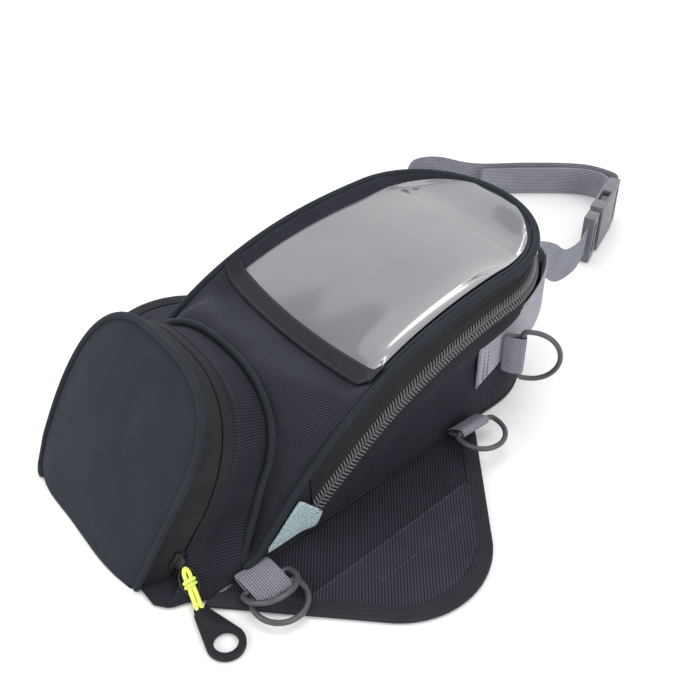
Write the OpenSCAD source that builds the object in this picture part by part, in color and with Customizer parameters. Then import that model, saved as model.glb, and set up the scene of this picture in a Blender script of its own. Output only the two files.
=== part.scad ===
// Motorcycle tank bag: a wedge-shaped main bag with a zipped lid and a map window,
// a zipped front pouch, two magnet wings, tie-down rings and a buckled waist belt.
// Millimetres. +Z up, pouch towards -Y, origin on the underside of the base.

/* [Main bag] */
// Distance from the origin to the front edge of the base
body_front = 147; // [135:1:160]
// Distance from the origin to the rearmost point of the lid edge
body_rear = 154; // [140:1:170]
// Width across the lid edge at the front
body_w_front = 180; // [168:1:196]
// Width across the lid edge where the rear rounding starts
body_w_rear = 152; // [140:1:166]
// Length of the rounded rear end
rear_round = 70; // [55:1:85]
// Height of the lid edge at the rear
lid_h = 121; // [110:1:135]
// How fast the lid edge climbs from the front, as an exponent
lid_rise = 3.2; // [2.6:0.1:3.8]
// How far the base edge stands out beyond the lid edge
base_flare = 3.5; // [1:0.5:6]
// Thickness of the padded fabric walls
wall = 2.4; // [1.6:0.2:3.2]
// Thickness of the non-slip base sheet
base_t = 2.4; // [1.6:0.2:3.2]
// Thickness of the stiffener board
board_t = 2; // [1:0.5:3]

/* [Nose and lid] */
// Height of the padded nose behind the pouch
nose_h = 94; // [88:1:100]
// Lean of the nose from the vertical, in degrees
nose_lean = 30.1; // [26:0.1:33]
// How far the window hangs below the lid edge
window_dish = 9; // [4:1:12]
// Zip line below the lid edge, at the front of the bag
zip_drop_front = 40; // [36:1:44]
// Zip line below the lid edge, at the rear
zip_drop_rear = 20; // [17:1:26]
// Slope of the cut between lid and nose, in degrees below the horizontal
split_angle = 53; // [52:1:56]
// Width of a zip tape beside its coil
tape_w = 9; // [6:1:11]
// Diameter of one zip coil
coil_d = 2.4; // [1.6:0.2:3]
// Diameter of the sewn edge piping
piping_d = 6; // [4:0.5:7]
// Distance of the window's front binding behind the fold of the lid
binding_back = 38; // [34:1:46]
// Width of the window binding
binding_w = 13; // [8:1:18]
// Thickness of the clear window sheet
window_t = 0.6; // [0.4:0.1:1]

/* [Front pouch] */
// Distance from the origin to the foot of the pouch face
pouch_front = 211; // [200:1:222]
// Lean of the pouch face from the vertical, in degrees
pouch_lean = 26.6; // [22:0.1:30]
// Width of the pouch face at its foot
pouch_foot_w = 124; // [116:1:132]
// Greatest width of the pouch face
pouch_w = 142; // [136:1:150]
// Height of the pouch face, along its slope
pouch_h = 152; // [140:1:162]
// Height of the pouch back, along its slope
pouch_back_h = 106; // [98:1:108]
// Share of the pouch depth that opens with the door
door_share = 0.36; // [0.28:0.01:0.42]

/* [Wings] */
// Length of the wing root along the base
wing_root = 240; // [220:1:250]
// Reach of the wing tip from the root
wing_reach = 104; // [96:1:112]
// Radius of the wing tip
wing_tip_r = 61; // [50:1:66]
// Thickness of the wing, bound edge included
wing_t = 3.6; // [3:0.2:4.6]
// Width of the bound edge
bind_w = 10; // [6:1:12]
// Distance from the origin to the middle of the wing root
wing_mid = 60; // [56:1:66]
// Length of one wing magnet
magnet_l = 46; // [36:1:52]
// Width of one wing magnet
magnet_w = 26; // [20:1:30]
// Thickness of one wing magnet
magnet_t = 1.5; // [1:0.1:1.8]

/* [Rings and webbing] */
// Wire diameter of the rings
ring_wire = 3.5; // [3:0.1:4]
// Clear width inside a ring
ring_inner = 31; // [30:0.5:34]
// Straight length of a ring beside its bar
ring_leg = 7; // [5:0.5:10]
// Width of the ring webbing
loop_w = 25; // [20:1:26]
// Clear width inside a rear ring
rear_ring_inner = 38; // [37:0.5:42]
// Width of the rear ring webbing
rear_loop_w = 32; // [26:1:33]
// Thickness of the webbing
web_t = 1.2; // [0.8:0.1:1.6]
// Width of the side straps
strap_w = 36; // [30:1:40]
// Width of the waist belt
belt_w = 28; // [24:1:30]

/* [Buckle] */
// Width of the buckle
buckle_w = 44; // [42:1:50]
// Thickness of the buckle
buckle_t = 12; // [11:0.5:14]
// Length of the buckle socket, without its strap frame
socket_l = 44; // [42:1:50]
// Wall of the buckle socket
socket_wall = 2.2; // [1.8:0.1:2.4]
// Length of each strap frame of the buckle
frame_l = 14; // [12:1:16]

/* [Pulls] */
// Length of a zip slider
slider_l = 13; // [10:0.5:15]
// Width of a zip slider
slider_w = 9; // [8:0.5:11]
// Diameter of the pull cord
cord_d = 4; // [3:0.2:4.6]
// Length of the pull tab
tab_l = 39; // [36:1:42]
// Width of the pull tab across its eye
tab_w = 24; // [20:1:26]
// Width of the pull tab at the cord
tab_neck = 10; // [8:0.5:12]
// Width of the rim round the eye of the pull tab
tab_rim = 4.5; // [3:0.5:6]
// Thickness of the pull tab
tab_t = 3.4; // [2.6:0.2:4]

/* [Hidden] */
$fn = 32;

// Clear gap between neighbouring soft pieces
gap = 0.4;
fabric = [0.10, 0.10, 0.11];
grey_web = [0.47, 0.47, 0.49];
dark_metal = [0.24, 0.24, 0.25];
tape_black = [0.13, 0.12, 0.12];

// Small helpers
function lerp(a, b, t) = a + (b - a) * t;
function unit(v) = v / norm(v);
function clamp01(t) = max(0, min(1, t));
function ease(t) = let (c = clamp01(t)) c * c * (3 - 2 * c);
function flip_x(p) = [-p.x, p.y, p.z];
function reverse(v) = [for (i = [len(v) - 1:-1:0]) v[i]];

// Joins a row of equal rings of points into one closed solid.
// Each ring turns anticlockwise seen from the end of the row.
module skin(rings, closed = false) {
  n = len(rings);
  m = len(rings[0]);
  sides = [for (i = [0:closed ? n - 1 : n - 2], j = [0:m - 1])
    let (k = (i + 1) % n, q = (j + 1) % m)
    each [[i * m + j, k * m + q, i * m + q], [i * m + j, k * m + j, k * m + q]]];
  caps = closed ? [] : [[for (j = [0:m - 1]) j], [for (j = [m - 1:-1:0]) (n - 1) * m + j]];
  polyhedron([for (r = rings) each r], concat(sides, caps), convexity = 8);
}

function tangent(path, i, closed = false) =
  let (n = len(path))
  closed ? unit(path[(i + 1) % n] - path[(i + n - 1) % n])
  : unit(path[min(i + 1, n - 1)] - path[max(i - 1, 0)]);

// Carries a flat shape along a path; the shape's second axis stays near up.
function swept(path, shape, up = [0, 0, 1], closed = false) =
  [for (i = [0:len(path) - 1])
    let (t = tangent(path, i, closed), a = unit(cross(up, t)), b = cross(t, a))
    [for (s = shape) path[i] + a * s.x + b * s.y]];

function disc(d, n = 8) = [for (k = [0:n - 1]) [cos(360 * k / n), sin(360 * k / n)] * d / 2];
function oblong(t, w) = [[t, -w], [t, w], [-t, w], [-t, -w]] / 2;

// Plan of the bag: the side runs straight and the rear is half an ellipse
round_y = body_rear - rear_round;
side_slope = (body_w_rear - body_w_front) / 2 / (round_y + body_front);
side_turn = atan(side_slope);
function side_half(y) = body_w_front / 2 + side_slope * (y + body_front);

// A station holds its half width, its y and its outward direction in plan
side_steps = 40;
arc_steps = 12;
side_stations = [for (i = [0:side_steps - 1])
  let (y = lerp(-body_front, round_y, i / side_steps)) [side_half(y), y, 1, 0]];
arc_stations = [for (i = [0:arc_steps])
  let (a = 90 * i / arc_steps)
  [body_w_rear / 2 * cos(a), round_y + rear_round * sin(a), cos(a), sin(a)]];
half_stations = concat(side_stations, arc_stations);
function u_turn(st) = concat(st,
  [for (i = [len(st) - 2:-1:0]) let (s = st[i]) [-s[0], s[1], -s[2], s[3]]]);

// Heights along the bag
body_len = body_front + body_rear;
function along(y) = clamp01((y + body_front) / body_len);
// Least heights of the lid edge and of the nose
edge_rise = 2.6;
least_edge = base_t + gap + 2 * wall + edge_rise;
nose_low = base_t + gap + wall;
function edge_z(y) = max(least_edge, lid_h * (1 - pow(1 - along(y), lid_rise)));
function zip_z(y) = edge_z(y) - lerp(zip_drop_front, zip_drop_rear, along(y));
nose_y = nose_h * tan(nose_lean) - body_front;
// Lengths over which the hump of the nose and the dish of the window fade out
hump = 52;
dish_fade = 36;
function hollow_z(y) = edge_z(y)
  - window_dish * ease((y - nose_y) / hump) * ease((body_rear - y) / dish_fade);
function middle_z(y) = y < nose_y ? max(nose_low, (y + body_front) / tan(nose_lean))
  : hollow_z(y) + (nose_h - edge_z(nose_y)) * (1 - ease((y - nose_y) / hump));
// Across, the panel is level in the middle and turns to its edge between two shares of its half width
level_share = 0.78;
edge_share = 0.94;
function to_edge(t) = ease((abs(t) - level_share) / (edge_share - level_share));
function panel_z(t, y) = lerp(middle_z(y), edge_z(y), to_edge(t));

// The lid turns about a line just above the top of the nose
hinge_back = 12.5;
hinge_lift = 1.5;
hinge_y = nose_y + hinge_back;
hinge_z = middle_z(hinge_y) + hinge_lift;
function split_z(y) = hinge_z - (y - hinge_y) * tan(split_angle);
function seam_z(y) = max(split_z(y), zip_z(y));
// Where the cut meets the panel, found by halving
split_reach = 40;
function split_y(t, lo = hinge_y, hi = hinge_y + split_reach, n = 14) =
  let (m = (lo + hi) / 2)
  n == 0 ? m : panel_z(t, m) > split_z(m) ? split_y(t, lo, m, n - 1) : split_y(t, m, hi, n - 1);
edge_split = split_y(1);
middle_split = split_y(0);
rim_drop = wall + 3 * gap;
rim_z = function (y) edge_z(y) - rim_drop;

// A point of the side wall at height z, moved out by off
function side_pt(s, z, off) =
  let (out = base_flare * (1 - z / edge_z(s[1])) + off)
  [s[0] + s[2] * out, s[1] + s[3] * out, z];
function band(stations, low, high, off, t) = [for (s = stations)
  [side_pt(s, low(s[1]), off), side_pt(s, low(s[1]), off - t),
   side_pt(s, high(s[1]), off - t), side_pt(s, high(s[1]), off)]];

// Base
function base_outline(off) =
  [for (s = u_turn(half_stations)) let (p = side_pt(s, 0, off)) [p.x, p.y]];

// A flat sheet of the base plan, cut straight at the front so that it stays behind the pouch
module base_sheet(off, front, t) {
  linear_extrude(t) intersection() {
    polygon(base_outline(off));
    translate([-body_w_front, front - body_front]) square([2 * body_w_front, 2 * body_len]);
  }
}

module base_panel() {
  color(fabric * 0.8) base_sheet(0, base_t * tan(nose_lean), base_t);
}

module base_board() {
  inset = wall + base_flare;
  front = (nose_low + board_t + gap) * tan(nose_lean) + gap;
  color([0.3, 0.3, 0.32]) translate([0, 0, base_t + gap]) base_sheet(-inset, front, board_t);
}

// Side wall below the zip, and the front panel with its padded nose
module side_gusset() {
  low = function (y) base_t + gap;
  high = function (y) min(rim_z(y), seam_z(y));
  color(fabric) skin(band(u_turn(half_stations), low, high, 0, wall));
}

// Closes a grid of points, rows towards +Y and columns towards +X, into a sheet of thickness t
module plate(grid, t) {
  n = len(grid);
  m = len(grid[0]);
  low = n * m;
  top = [for (r = grid) each r];
  sheet = [for (i = [0:n - 2], j = [0:m - 2]) let (a = i * m + j)
    each [[a, a + m, a + m + 1], [a, a + m + 1, a + 1],
      [low + a, low + a + m + 1, low + a + m], [low + a, low + a + 1, low + a + m + 1]]];
  ends = [for (j = [0:m - 2]) let (a = j, b = (n - 1) * m + j)
    each [[a, a + 1, low + a + 1, low + a], [b + 1, b, low + b, low + b + 1]]];
  sides = [for (i = [0:n - 2]) let (a = i * m, b = i * m + m - 1)
    each [[a + m, a, low + a, low + a + m], [b, b + m, low + b + m, low + b]]];
  polyhedron(concat(top, [for (p = top) p - [0, 0, t]]), concat(sheet, ends, sides), convexity = 8);
}

// Grid columns across a panel, closer together near its edges
half_cols = 8;
crowding = 1.5;
cols = [for (i = [-half_cols:half_cols]) sign(i) * (1 - pow(1 - abs(i) / half_cols, crowding))];
function panel_row(half, y_of, lift = 0, columns = cols) =
  [for (c = columns) [c * half, y_of(c), panel_z(c, y_of(c)) + lift]];

// The nose starts where its lean meets its least height, and its cheeks reach further forward
function nose_foot_y(c) = nose_low * tan(nose_lean) * (1 - to_edge(c)) - body_front;

module nose_panel() {
  steps = 14;
  color(fabric) plate([for (i = [0:steps])
    let (k = i / steps, y_of = function (c) lerp(nose_foot_y(c), split_y(c) - gap, k))
    panel_row(side_half(y_of(1)), y_of)], wall);
}

module lid_panel() {
  front = [for (i = [0:7])
    let (y_of = function (c) lerp(split_y(c) + gap, 0, i / 8)) panel_row(side_half(y_of(1)), y_of)];
  middle = [for (i = [0:4])
    let (y = lerp(0, round_y, i / 5)) panel_row(side_half(y), function (c) y)];
  rear = [for (i = [0:arc_steps - 1])
    let (s = arc_stations[i]) panel_row(s[0], function (c) s[1])];
  color(fabric) plate(concat(front, middle, rear), wall);
}

module lid_rim() {
  rows = [for (s = half_stations) if (s[1] > edge_split + 4) s];
  low = function (y) seam_z(y) + gap;
  color(fabric) skin(band(u_turn(rows), low, rim_z, 0, wall));
}

// Piping stands outside the edge where two panels are sewn together
function edge_line(stations) = [for (s = stations)
  side_pt(s, edge_z(s[1]), piping_d / 2 + gap) - [0, 0, wall / 2]];

module lid_piping() {
  rows = [for (s = half_stations) if (s[1] > edge_split + 1) s];
  color(fabric * 0.9) skin(swept(edge_line(u_turn(rows)), disc(piping_d)));
}

module nose_piping() {
  rows = [for (s = half_stations) if (s[1] < edge_split - 1) s];
  color(fabric * 0.9) for (side = [0, 1]) mirror([side, 0, 0])
    skin(swept(edge_line(rows), disc(piping_d)));
}

// Main zip: a tape and a coil on each side of the seam, and a tab over each front end
tape_t = 0.8;
coil_off = gap + tape_t + gap / 2 + coil_d / 2;
// The tabs run from near the front of the base to the start of the coils
tab_front = 19;
tab_y0 = tab_front - body_front;
tab_rear = hinge_y - 12;
function on_zip(s) = zip_z(s[1]) > split_z(s[1]) + coil_d;

module zip_tape_lower() {
  rows = [for (s = half_stations) if (s[1] > tab_rear + gap) s];
  low = function (y) zip_z(y) - tape_w;
  high = function (y) zip_z(y);
  color(tape_black) skin(band(u_turn(rows), low, high, gap + tape_t, tape_t));
}

module zip_tape_upper() {
  rows = [for (s = half_stations) if (on_zip(s)) s];
  low = function (y) zip_z(y) + gap;
  high = function (y) min(zip_z(y) + tape_w, rim_z(y) - gap);
  color(tape_black) skin(band(u_turn(rows), low, high, gap + tape_t, tape_t));
}

function coil_line(rows, lift) = [for (s = u_turn(rows)) side_pt(s, zip_z(s[1]) + lift, coil_off)];

module zip_coil_lower() {
  rows = [for (s = half_stations) if (s[1] > tab_rear + gap) s];
  color([0.2, 0.2, 0.21]) skin(swept(coil_line(rows, -coil_d / 2 - gap / 2), disc(coil_d, 6)));
}

module zip_coil_upper() {
  rows = [for (s = half_stations) if (on_zip(s)) s];
  color([0.2, 0.2, 0.21]) skin(swept(coil_line(rows, coil_d / 2 + gap * 1.5), disc(coil_d, 6)));
}

module zip_end_tabs() {
  rows = [for (s = half_stations) if (s[1] > tab_y0 && s[1] < tab_rear) s];
  middle = function (y) lerp(least_edge / 2, zip_z(tab_rear), (y - tab_y0) / (tab_rear - tab_y0));
  low = function (y) max(base_t + gap, middle(y) - tape_w);
  high = function (y) min(middle(y) + tape_w, edge_z(y) - piping_d);
  color([0.55, 0.64, 0.62]) for (side = [0, 1]) mirror([side, 0, 0])
    skin(band(rows, low, high, gap + web_t, web_t));
}

// Window: a clear sheet over the rear of the lid, bound at its front edge
bind_t = 0.8;
binding_y = middle_split + binding_back;
bow = 10;
function bound_y(c) = binding_y + bow * c * c;
// The window leaves out the outermost columns of the panel, and its top lies above it
inner_cols = [for (i = [1:len(cols) - 2]) cols[i]];
window_lift = 2 * gap + window_t;

module window_sheet() {
  join_y = 30;
  front = [for (i = [0:5]) let (y_of = function (c) lerp(bound_y(c) + binding_w / 2, join_y, i / 6))
    panel_row(side_half(y_of(1)), y_of, window_lift, inner_cols)];
  middle = [for (i = [0:3]) let (y = lerp(join_y, round_y, i / 4))
    panel_row(side_half(y), function (c) y, window_lift, inner_cols)];
  rear = [for (i = [0:arc_steps - 3]) let (s = arc_stations[i])
    panel_row(s[0], function (c) s[1], window_lift, inner_cols)];
  color([0.62, 0.64, 0.66]) plate(concat(front, middle, rear), window_t);
}

module window_binding() {
  lift = window_lift + gap + bind_t;
  color(tape_black) plate([for (i = [0:3])
    let (y_of = function (c) bound_y(c) + binding_w * (i / 3 - 0.5))
    panel_row(side_half(y_of(1)), y_of, lift, inner_cols)], bind_t);
}

// Front pouch: a leaning face and a leaning back, joined by a tapering gusset
foot_r = 12;
pouch_wall = 1.6;
face_mid = 72;
back_mid = 45;
back_foot_w = 132;
round_power = 2.4;
// Right half of an outline, from its foot to its top
function half_outline(foot, wide, mid, top, off) = concat(
  [[foot - foot_r, -off]],
  [for (a = [-67.5:22.5:0])
    [foot - foot_r + (foot_r + off) * cos(a), foot_r + (foot_r + off) * sin(a)]],
  [for (i = [1:4]) lerp([foot + off, foot_r], [wide + off, mid], i / 4)],
  [for (q = [9:9:81]) [(wide + off) * pow(cos(q), 2 / round_power),
    mid + (top + off - mid) * pow(sin(q), 2 / round_power)]]);
function outline(foot, wide, mid, top, off) =
  let (h = half_outline(foot, wide, mid, top, off))
  concat([[0, -off]], h, [[0, top + off]], [for (p = reverse(h)) [-p.x, p.y]]);
function lean_pt(p, y, lean) = [p.x, y + p.y * sin(lean), p.y * cos(lean)];
function face_outline(off) = outline(pouch_foot_w / 2, pouch_w / 2, face_mid, pouch_h, off);
function back_outline(off) = outline(back_foot_w / 2, pouch_w / 2, back_mid, pouch_back_h, off);
function pouch_ring(f, off) =
  let (a = face_outline(off), b = back_outline(off))
  [for (k = [0:len(a) - 1]) lerp(lean_pt(a[k], -pouch_front, pouch_lean),
    lean_pt(b[k], -body_front - gap, nose_lean), f)];
// The first and last points of the stretch that the zip follows, and the end of its straight run
pouch_points = len(pouch_ring(0, 0));
zip_first = 5;
run_last = 9;
zip_last = pouch_points - zip_first;
pouch_depth = pouch_front - body_front;
// Shares of the depth taken up by a sheet with its gap, and by the slit at the zip
seat = (pouch_wall + gap) / (pouch_depth * cos(nose_lean));
slit = gap / pouch_depth;

function pouch_band(f0, f1, off, t, first, last) =
  let (a = pouch_ring(f0, off), b = pouch_ring(f1, off))
  let (c = pouch_ring(f1, off - t), d = pouch_ring(f0, off - t))
  [for (k = [first:last]) [a[k], b[k], c[k], d[k]]];

module pouch_gusset() {
  color(fabric)
    skin(pouch_band(door_share + slit, 1 - seat, 0, pouch_wall, 0, pouch_points - 1), true);
}

// A flat sheet in a leaning plane, z0 in front of it
module leaning_sheet(points, y, lean, z0) {
  translate([0, y, 0]) rotate([90 - lean, 0, 0]) translate([0, 0, z0])
    linear_extrude(pouch_wall) polygon(points);
}

module pouch_back() {
  color(fabric) leaning_sheet(back_outline(0), -body_front - gap, nose_lean, 0);
}

module pouch_floor() {
  front = pouch_wall * 2 + gap;
  color(fabric) translate([foot_r - pouch_foot_w / 2, front - pouch_front, 0])
    cube([pouch_foot_w - 2 * foot_r, pouch_depth * door_share - front, pouch_wall]);
}

module pouch_back_piping() {
  off = piping_d / 2 + gap;
  path = pouch_ring(1 - piping_d / 2 / pouch_depth, off);
  line = [for (k = [zip_first:zip_last]) path[k]];
  color(fabric * 0.9) skin(swept(line, disc(piping_d - 1), [0, 1, 0]));
}

module pouch_zip_tape() {
  f1 = door_share + tape_w / pouch_depth;
  color(tape_black)
    skin(pouch_band(door_share + slit, f1, gap + tape_t, tape_t, zip_first, zip_last));
}

module pouch_face() {
  foot = pouch_wall * tan(pouch_lean);
  trimmed = [for (p = face_outline(0)) [p.x, max(p.y, foot)]];
  color(fabric) leaning_sheet(trimmed, -pouch_front, pouch_lean, -pouch_wall);
}

module pouch_rim() {
  color(tape_black)
    skin(pouch_band(seat, door_share - slit, 0, pouch_wall, zip_first, zip_last));
}

module pouch_face_piping() {
  path = pouch_ring(0, piping_d / 2 + gap);
  line = [for (k = [zip_first:zip_last]) path[k]];
  color(fabric * 0.9) skin(swept(line, disc(piping_d - 1), [0, 1, 0]));
}

// Zip sliders and pulls
slider_t = 3;
bow_w = 3;
bow_r = slider_l * 0.35;
// Room under a slider, which runs straight over a slightly curved zip
slider_play = 0.6;
module slider_body() {
  translate([-slider_l / 2, -slider_w / 2, 0]) cube([slider_l, slider_w, slider_t]);
  translate([0, 0, slider_t]) rotate([90, 0, 0]) linear_extrude(bow_w, center = true)
    intersection() {
      circle(bow_r);
      translate([-bow_r, -gap]) square([2 * bow_r, 2 * bow_r]);
    }
}

// A frame given by its three directions and its place
module at_frame(x, y, z, p) {
  multmatrix([[x.x, y.x, z.x, p.x], [x.y, y.y, z.y, p.y], [x.z, y.z, z.z, p.z], [0, 0, 0, 1]])
    children();
}

zip_side = pouch_ring(door_share, gap + tape_t + slider_play);
pouch_run = unit(zip_side[run_last] - zip_side[zip_first]);
run_mid = (zip_first + run_last) / 2;
pouch_across = pouch_ring(1, 0)[run_mid] - pouch_ring(0, 0)[run_mid];
pouch_in = unit(cross(pouch_run, cross(pouch_across, pouch_run)));
pouch_out = cross(pouch_in, pouch_run);
pouch_slider_at = lerp(zip_side[zip_first], zip_side[run_last], 0.15);

module pouch_slider() {
  color([0.08, 0.08, 0.09])
    at_frame(pouch_run, pouch_in, pouch_out, pouch_slider_at) slider_body();
}

// The pull lies on the ground beside the pouch, and its cord sags a little
pull_eye = pouch_slider_at + pouch_out * (slider_t + bow_r + cord_d / 2 + gap);
tab_x = 99;
tab_y = pull_eye.y - 5;
cord_end = [tab_x, tab_y, cord_d / 2 + gap];
pull_route = [pull_eye, lerp(pull_eye, cord_end, 0.35) - [0, 0, 1],
  lerp(pull_eye, cord_end, 0.7) - [0, 0, 2], cord_end];

module pull_cord() {
  color([0.80, 0.95, 0.10]) skin(swept(pull_route, disc(cord_d)));
}

module pull_tab() {
  reach = tab_l - tab_w / 2;
  touch = 180 - atan2(tab_neck / 2, reach) - acos(tab_w / 2 / norm([reach, tab_neck / 2]));
  side = [reach + tab_w / 2 * cos(touch), tab_w / 2 * sin(touch)];
  color([0.12, 0.12, 0.13]) translate([tab_x + 2 * gap, tab_y, gap]) linear_extrude(tab_t)
    difference() {
      union() {
        polygon([[0, -tab_neck / 2], [side.x, -side.y], side, [0, tab_neck / 2]]);
        translate([reach, 0]) circle(tab_w / 2);
      }
      translate([reach, 0]) circle(tab_w / 2 - tab_rim);
    }
}

// The main slider sits on the left side and runs along a nearly straight stretch of the zip
run_y0 = -20;
run_y1 = 25;
function main_zip_pt(y) =
  flip_x(side_pt([side_half(y), y, 1, 0], zip_z(y), coil_off + coil_d / 2 + slider_play));
main_run = unit(main_zip_pt(run_y1) - main_zip_pt(run_y0));
main_up = unit(cross(cross(main_run, [0, 0, 1]), main_run));
main_out = cross(main_run, main_up) * -1;
main_slider_at = lerp(main_zip_pt(run_y0), main_zip_pt(run_y1), 0.05)
  - main_up * coil_d + main_out * slider_play;
main_eye = main_slider_at + main_out * (slider_t + bow_r + gap);

module main_slider() {
  color([0.08, 0.08, 0.09])
    at_frame(main_run, -main_up, main_out, main_slider_at) slider_body();
}

module main_pull() {
  pull_w = 8;
  pull_l = 28;
  pull_t = 2;
  color([0.12, 0.12, 0.13]) at_frame(main_run, -main_up, main_out, main_eye)
    translate([-pull_w / 2, 0, 0]) cube([pull_w, pull_l, pull_t]);
}

// Wings: flat flaps hinged at the base edge, each with two magnets sewn in
plate_t = wing_t - bind_t;
tip_c = wing_reach - wing_tip_r;
tip_d = norm([tip_c, wing_root / 2]);
edge_turn = atan2(wing_root / 2, -tip_c) - acos(wing_tip_r / tip_d);
edge_wrap = 1.2;

module wing_outline(inset) {
  r = wing_tip_r - inset;
  h = (tip_c * cos(edge_turn) + r) / sin(edge_turn);
  tip = [tip_c + r * cos(edge_turn), r * sin(edge_turn)];
  intersection() {
    union() {
      polygon([[0, -h], [tip.x, -tip.y], [tip.x, tip.y], [0, h]]);
      translate([tip_c, 0]) circle(r, $fn = 96);
    }
    translate([0, -wing_root]) square([2 * wing_reach, 2 * wing_root]);
  }
}

module wing_frame(side) {
  mirror([side < 0 ? 1 : 0, 0, 0]) translate([side_half(-wing_mid) + base_flare + gap, -wing_mid, 0])
    rotate(-side_turn) children();
}

pocket_play = 0.3;
magnet_z = (plate_t - magnet_t) / 2;
module magnet_places() {
  apart = 8;
  for (k = [-1, 1])
    translate([tip_c - magnet_w / 2, k * (magnet_l / 2 + apart) - magnet_l / 2]) children();
}

module wing(side) {
  color(fabric) wing_frame(side) difference() {
    linear_extrude(plate_t) wing_outline(0);
    translate([0, 0, magnet_z - pocket_play / 2]) linear_extrude(magnet_t + pocket_play)
      magnet_places() translate([-pocket_play, -pocket_play])
        square([magnet_w + 2 * pocket_play, magnet_l + 2 * pocket_play]);
  }
}

module wing_binding(side) {
  play = 0.2;
  color(tape_black) wing_frame(side) difference() {
    linear_extrude(wing_t) difference() {
      wing_outline(-edge_wrap);
      wing_outline(bind_w);
    }
    translate([0, 0, -1]) linear_extrude(plate_t + play + 1) wing_outline(-play);
  }
}

module wing_magnets(side) {
  color([0.5, 0.5, 0.52]) wing_frame(side) translate([0, 0, magnet_z]) linear_extrude(magnet_t)
    magnet_places() square([magnet_w, magnet_l]);
}

// Rings: a bar along Y and a half round towards +X
bend_r = 3.5;
module d_ring(inner) {
  ring_r = (inner + ring_wire) / 2;
  bar = 2 * (ring_r - bend_r);
  rotate([90, 0, 0]) cylinder(h = bar, d = ring_wire, center = true);
  for (k = [0, 1]) mirror([0, k, 0]) {
    translate([bend_r, ring_r - bend_r, 0]) rotate(90) rotate_extrude(angle = 90)
      translate([bend_r, 0]) circle(d = ring_wire);
    translate([bend_r, ring_r, 0]) rotate([0, 90, 0]) cylinder(h = ring_leg - bend_r, d = ring_wire);
  }
  translate([ring_leg, 0, 0]) rotate(-90) rotate_extrude(angle = 180)
    translate([ring_r, 0]) circle(d = ring_wire);
}

// A folded length of webbing with a channel for each bar; its tongue is sewn to the bag
bar_play = 0.35;
channel_r = ring_wire / 2 + bar_play;
fold_r = channel_r + web_t;
module webbing_loop(length, bars, tongue, width) {
  rotate([90, 0, 0]) linear_extrude(width, center = true) difference() {
    union() {
      translate([tongue, -fold_r]) square([length - tongue, 2 * fold_r]);
      translate([0, -fold_r]) square([length, web_t]);
      translate([length, 0]) circle(fold_r);
    }
    for (b = bars) translate([b, 0]) circle(channel_r);
  }
}

function base_x(y) = side_half(y) + base_flare;
front_loop_y = -144;
front_loop_l = 24;
bar_pitch = 9;
tongue_l = 4.4;
front_loop_at = [base_x(front_loop_y) + gap, front_loop_y, wing_t + gap + fold_r];
inner_tilt = 25;
module on_side(side, p) {
  mirror([side < 0 ? 1 : 0, 0, 0]) translate(p) children();
}

module front_loop(side) {
  color(grey_web) on_side(side, front_loop_at)
    webbing_loop(front_loop_l, [front_loop_l, front_loop_l - bar_pitch], tongue_l, loop_w);
}

module front_ring_outer(side) {
  color(dark_metal) on_side(side, front_loop_at + [front_loop_l, 0, 0]) d_ring(ring_inner);
}

module front_ring_inner(side) {
  color(dark_metal) on_side(side, front_loop_at + [front_loop_l - bar_pitch, 0, 0])
    rotate([0, -inner_tilt, 0]) d_ring(ring_inner);
}

side_loop_y = 45;
side_loop_l = 15;
side_tilt = 30;
side_loop_lift = 2;
side_loop_at = [base_x(side_loop_y) + side_loop_lift, side_loop_y, wing_t + gap + fold_r + side_loop_lift];
side_bar = side_loop_at + side_loop_l * [cos(side_tilt), 0, sin(side_tilt)];

module side_loop(side) {
  color(grey_web) on_side(side, side_loop_at) rotate([0, -side_tilt, 0])
    webbing_loop(side_loop_l, [side_loop_l], 0, loop_w);
}

module side_ring(side) {
  color(dark_metal) on_side(side, side_bar) d_ring(ring_inner);
}

// Side straps: sewn flat on the side, then leaving the bag round the rear corner
strap_y0 = 60;
strap_z0 = 51;
strap_climb = 0.44;
strap_lift = 20.5;
strap_off = gap + web_t / 2 + base_flare * strap_w / 2 / edge_z(strap_y0);
corner_off = 13;
// How far each strap goes round its rear corner, in degrees
right_turn = 52.5;
left_turn = 8;
strap_steps = 4;
corner_steps = 7;
function strap_z(y) = strap_z0 + strap_climb * (y - strap_y0);
strap_run = [for (i = [0:strap_steps])
  let (y = lerp(strap_y0, round_y, i / strap_steps))
  side_pt([side_half(y), y, 1, 0], strap_z(y), strap_off)];
function strap_corner(turn) = [for (k = [1:corner_steps])
  let (a = turn * k / corner_steps, e = ease(k / corner_steps) * turn / right_turn)
  let (s = [body_w_rear / 2 * cos(a), round_y + rear_round * sin(a), cos(a), sin(a)])
  side_pt(s, strap_z(round_y) + strap_lift * e, lerp(strap_off, corner_off, e))];

module side_strap(side) {
  path = concat(strap_run, strap_corner(side < 0 ? left_turn : right_turn));
  color(grey_web) mirror([side < 0 ? 1 : 0, 0, 0]) skin(swept(path, oblong(web_t, strap_w)));
}

// Rear loops: sewn low on the straps, turned to the rear with their rings
rear_loop_z = 55;
rear_loop_l = 12;
rear_turn = 40;
rear_loop_at = side_pt([side_half(round_y), round_y, 1, 0], rear_loop_z,
  strap_off + web_t / 2 + 2 * gap + fold_r * sin(rear_turn));
rear_bar = rear_loop_at + rear_loop_l * [cos(rear_turn), sin(rear_turn), 0];

module rear_loop(side) {
  color(grey_web) on_side(side, rear_loop_at) rotate(rear_turn) rotate([90, 0, 0])
    webbing_loop(rear_loop_l, [rear_loop_l], 0, rear_loop_w);
}

module rear_ring(side) {
  color(dark_metal) on_side(side, rear_bar) rotate(rear_turn) rotate([90, 0, 0]) d_ring(rear_ring_inner);
}

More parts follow.
